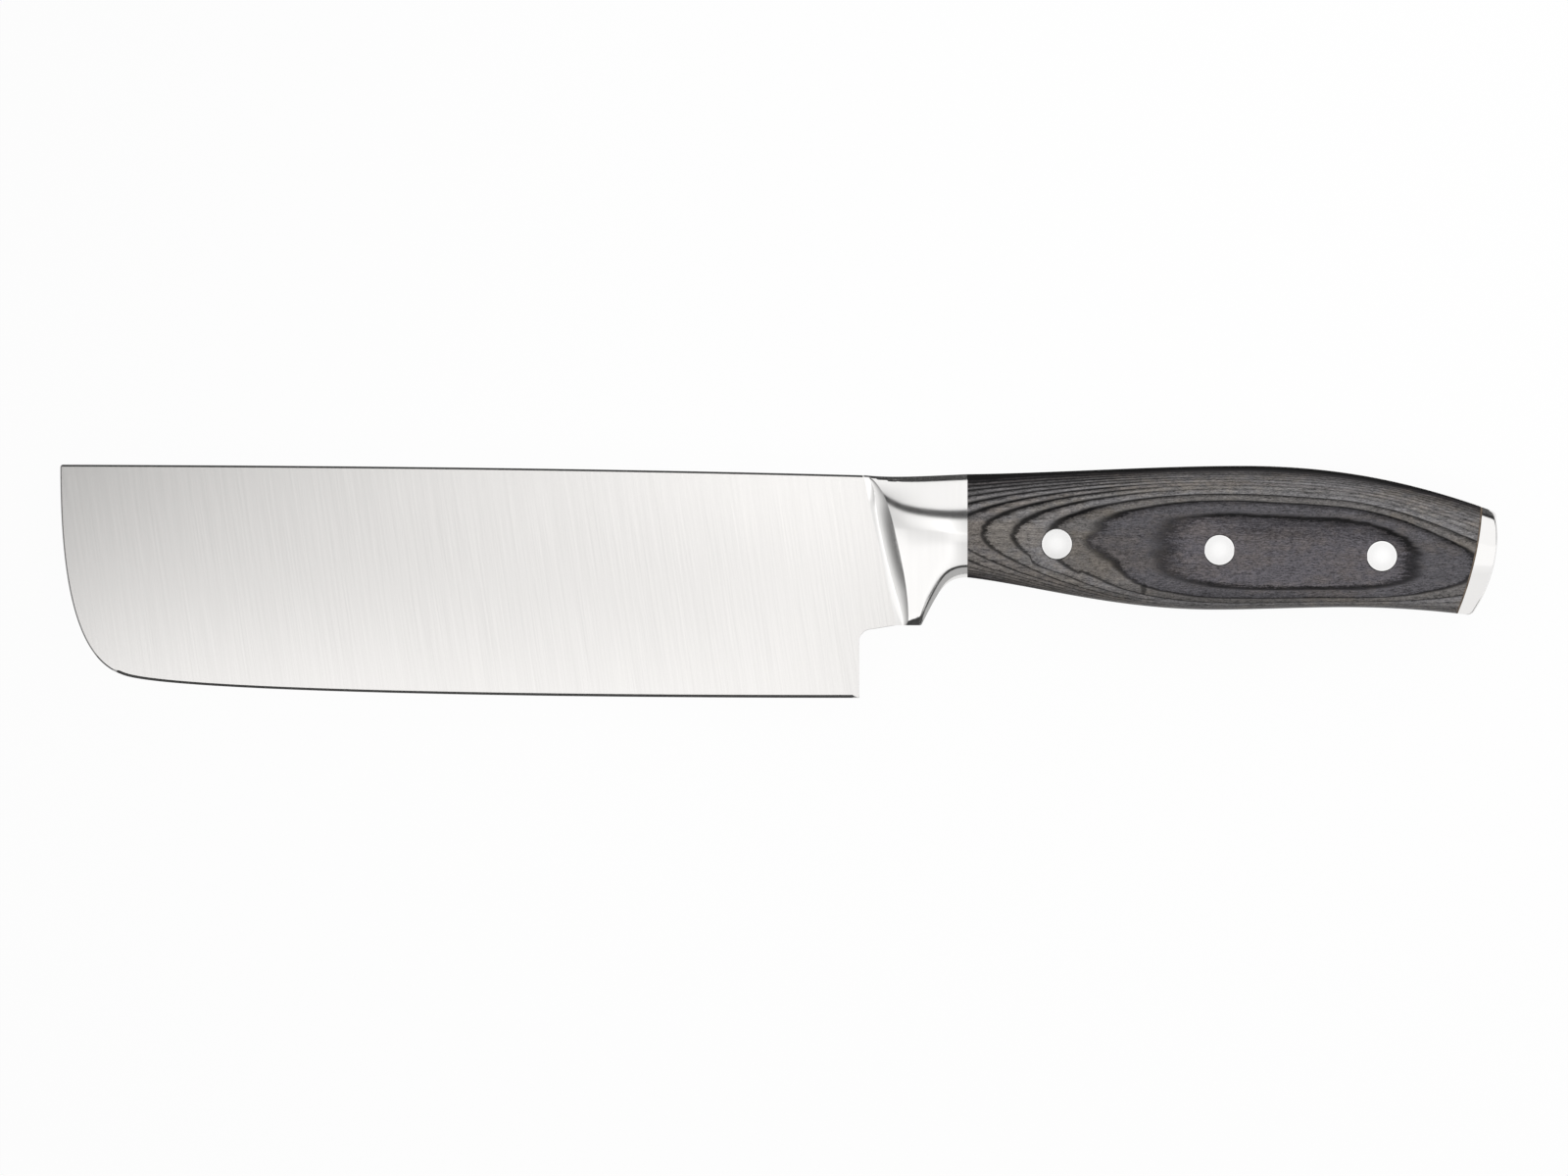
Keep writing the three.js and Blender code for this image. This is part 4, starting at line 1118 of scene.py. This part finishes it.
def lights():
    c, r = studio["ceiling"], studio["rear"]
    (x0, x1), (y0, y1) = c["x"], c["y"]
    lamp("ceilingBox", ((x0 + x1) / 2, (y0 + y1) / 2, c["z"]), (0, 0, -1),
         (x1 - x0, y1 - y0), c["radiance"], ceilingPattern)
    (x0, x1), (y0, z0), (y1, z1) = r["x"], r["near"], r["far"]
    lamp("rearBox", ((x0 + x1) / 2, (y0 + y1) / 2, (z0 + z1) / 2), (0, z1 - z0, y0 - y1),
         (x1 - x0, math.hypot(y1 - y0, z1 - z0)), r["radiance"], fading(r, 0))
    lamp("leftFill", **studio["leftFill"], pattern=fading(studio["leftFade"], 2))
    lamp("frontFill", **studio["frontFill"])
    lamp("rightFill", **studio["rightFill"])
    world = bpy.data.worlds.new("studio")
    bpy.context.scene.world = world
    world.use_nodes = True
    sky = world.node_tree.nodes["Background"].inputs
    sky["Color"].default_value = (1, 1, 1, 1)
    sky["Strength"].default_value = studio["world"]


def floorPiece():
    mesh = bpy.data.meshes.new("floor")
    side = studio["floorSide"]
    corners = [(-side, -side, 0), (side, -side, 0), (side, side, 0), (-side, side, 0)]
    mesh.from_pydata(corners, [], [(0, 1, 2, 3)])
    flat = {"Roughness": studio["floorRough"], "Specular IOR Level": 0.0}
    paint, wire, shader = newPaint("paleFloor", flat)
    tree = wire.tree
    specks = grain(wire, ownPlace(wire), (studio["floorSpecks"],) * 3)
    tone = scaled(wire, studio["floorColour"], 1.0 + specks * studio["floorTone"])
    join(wire, tone, shader, "Base Color")
    rays = wire.node("LightPath").socket.node.outputs  # the camera and reflections see a white floor
    mask = wire.sum("MAXIMUM", Wire(tree, rays["Is Camera Ray"]), Wire(tree, rays["Is Glossy Ray"]))
    mask = wire.sum("MAXIMUM", mask, Wire(tree, rays["Is Transmission Ray"])) * studio["floorGlow"]
    glow = wire.node("Emission", None, {"Color": (1, 1, 1, 1), "Strength": 1.0})
    both = wire.node("MixShader", None, {0: mask, 1: Wire(tree, shader.outputs[0]), 2: glow})
    output = next(n for n in tree.nodes if n.type == "OUTPUT_MATERIAL")
    tree.links.new(both.socket, output.inputs["Surface"])
    mesh.materials.append(paint)
    linked("floor", mesh)


view = dict(centre=(0.0012, -0.0015), width=0.34996, plane=0.00935, distance=5.0, sensor=36.0, clipEnd=100.0)


def cameraPiece():
    data = bpy.data.cameras.new("camera")
    data.sensor_width = view["sensor"]
    data.lens = view["sensor"] * view["distance"] / view["width"]
    data.clip_end = view["clipEnd"]
    item = linked("camera", data)
    item.location = (*view["centre"], view["plane"] + view["distance"])
    bpy.context.scene.camera = item


lights()
floorPiece()
cameraPiece()
bpy.context.scene.view_settings.view_transform = "Standard"
print("stage ready")
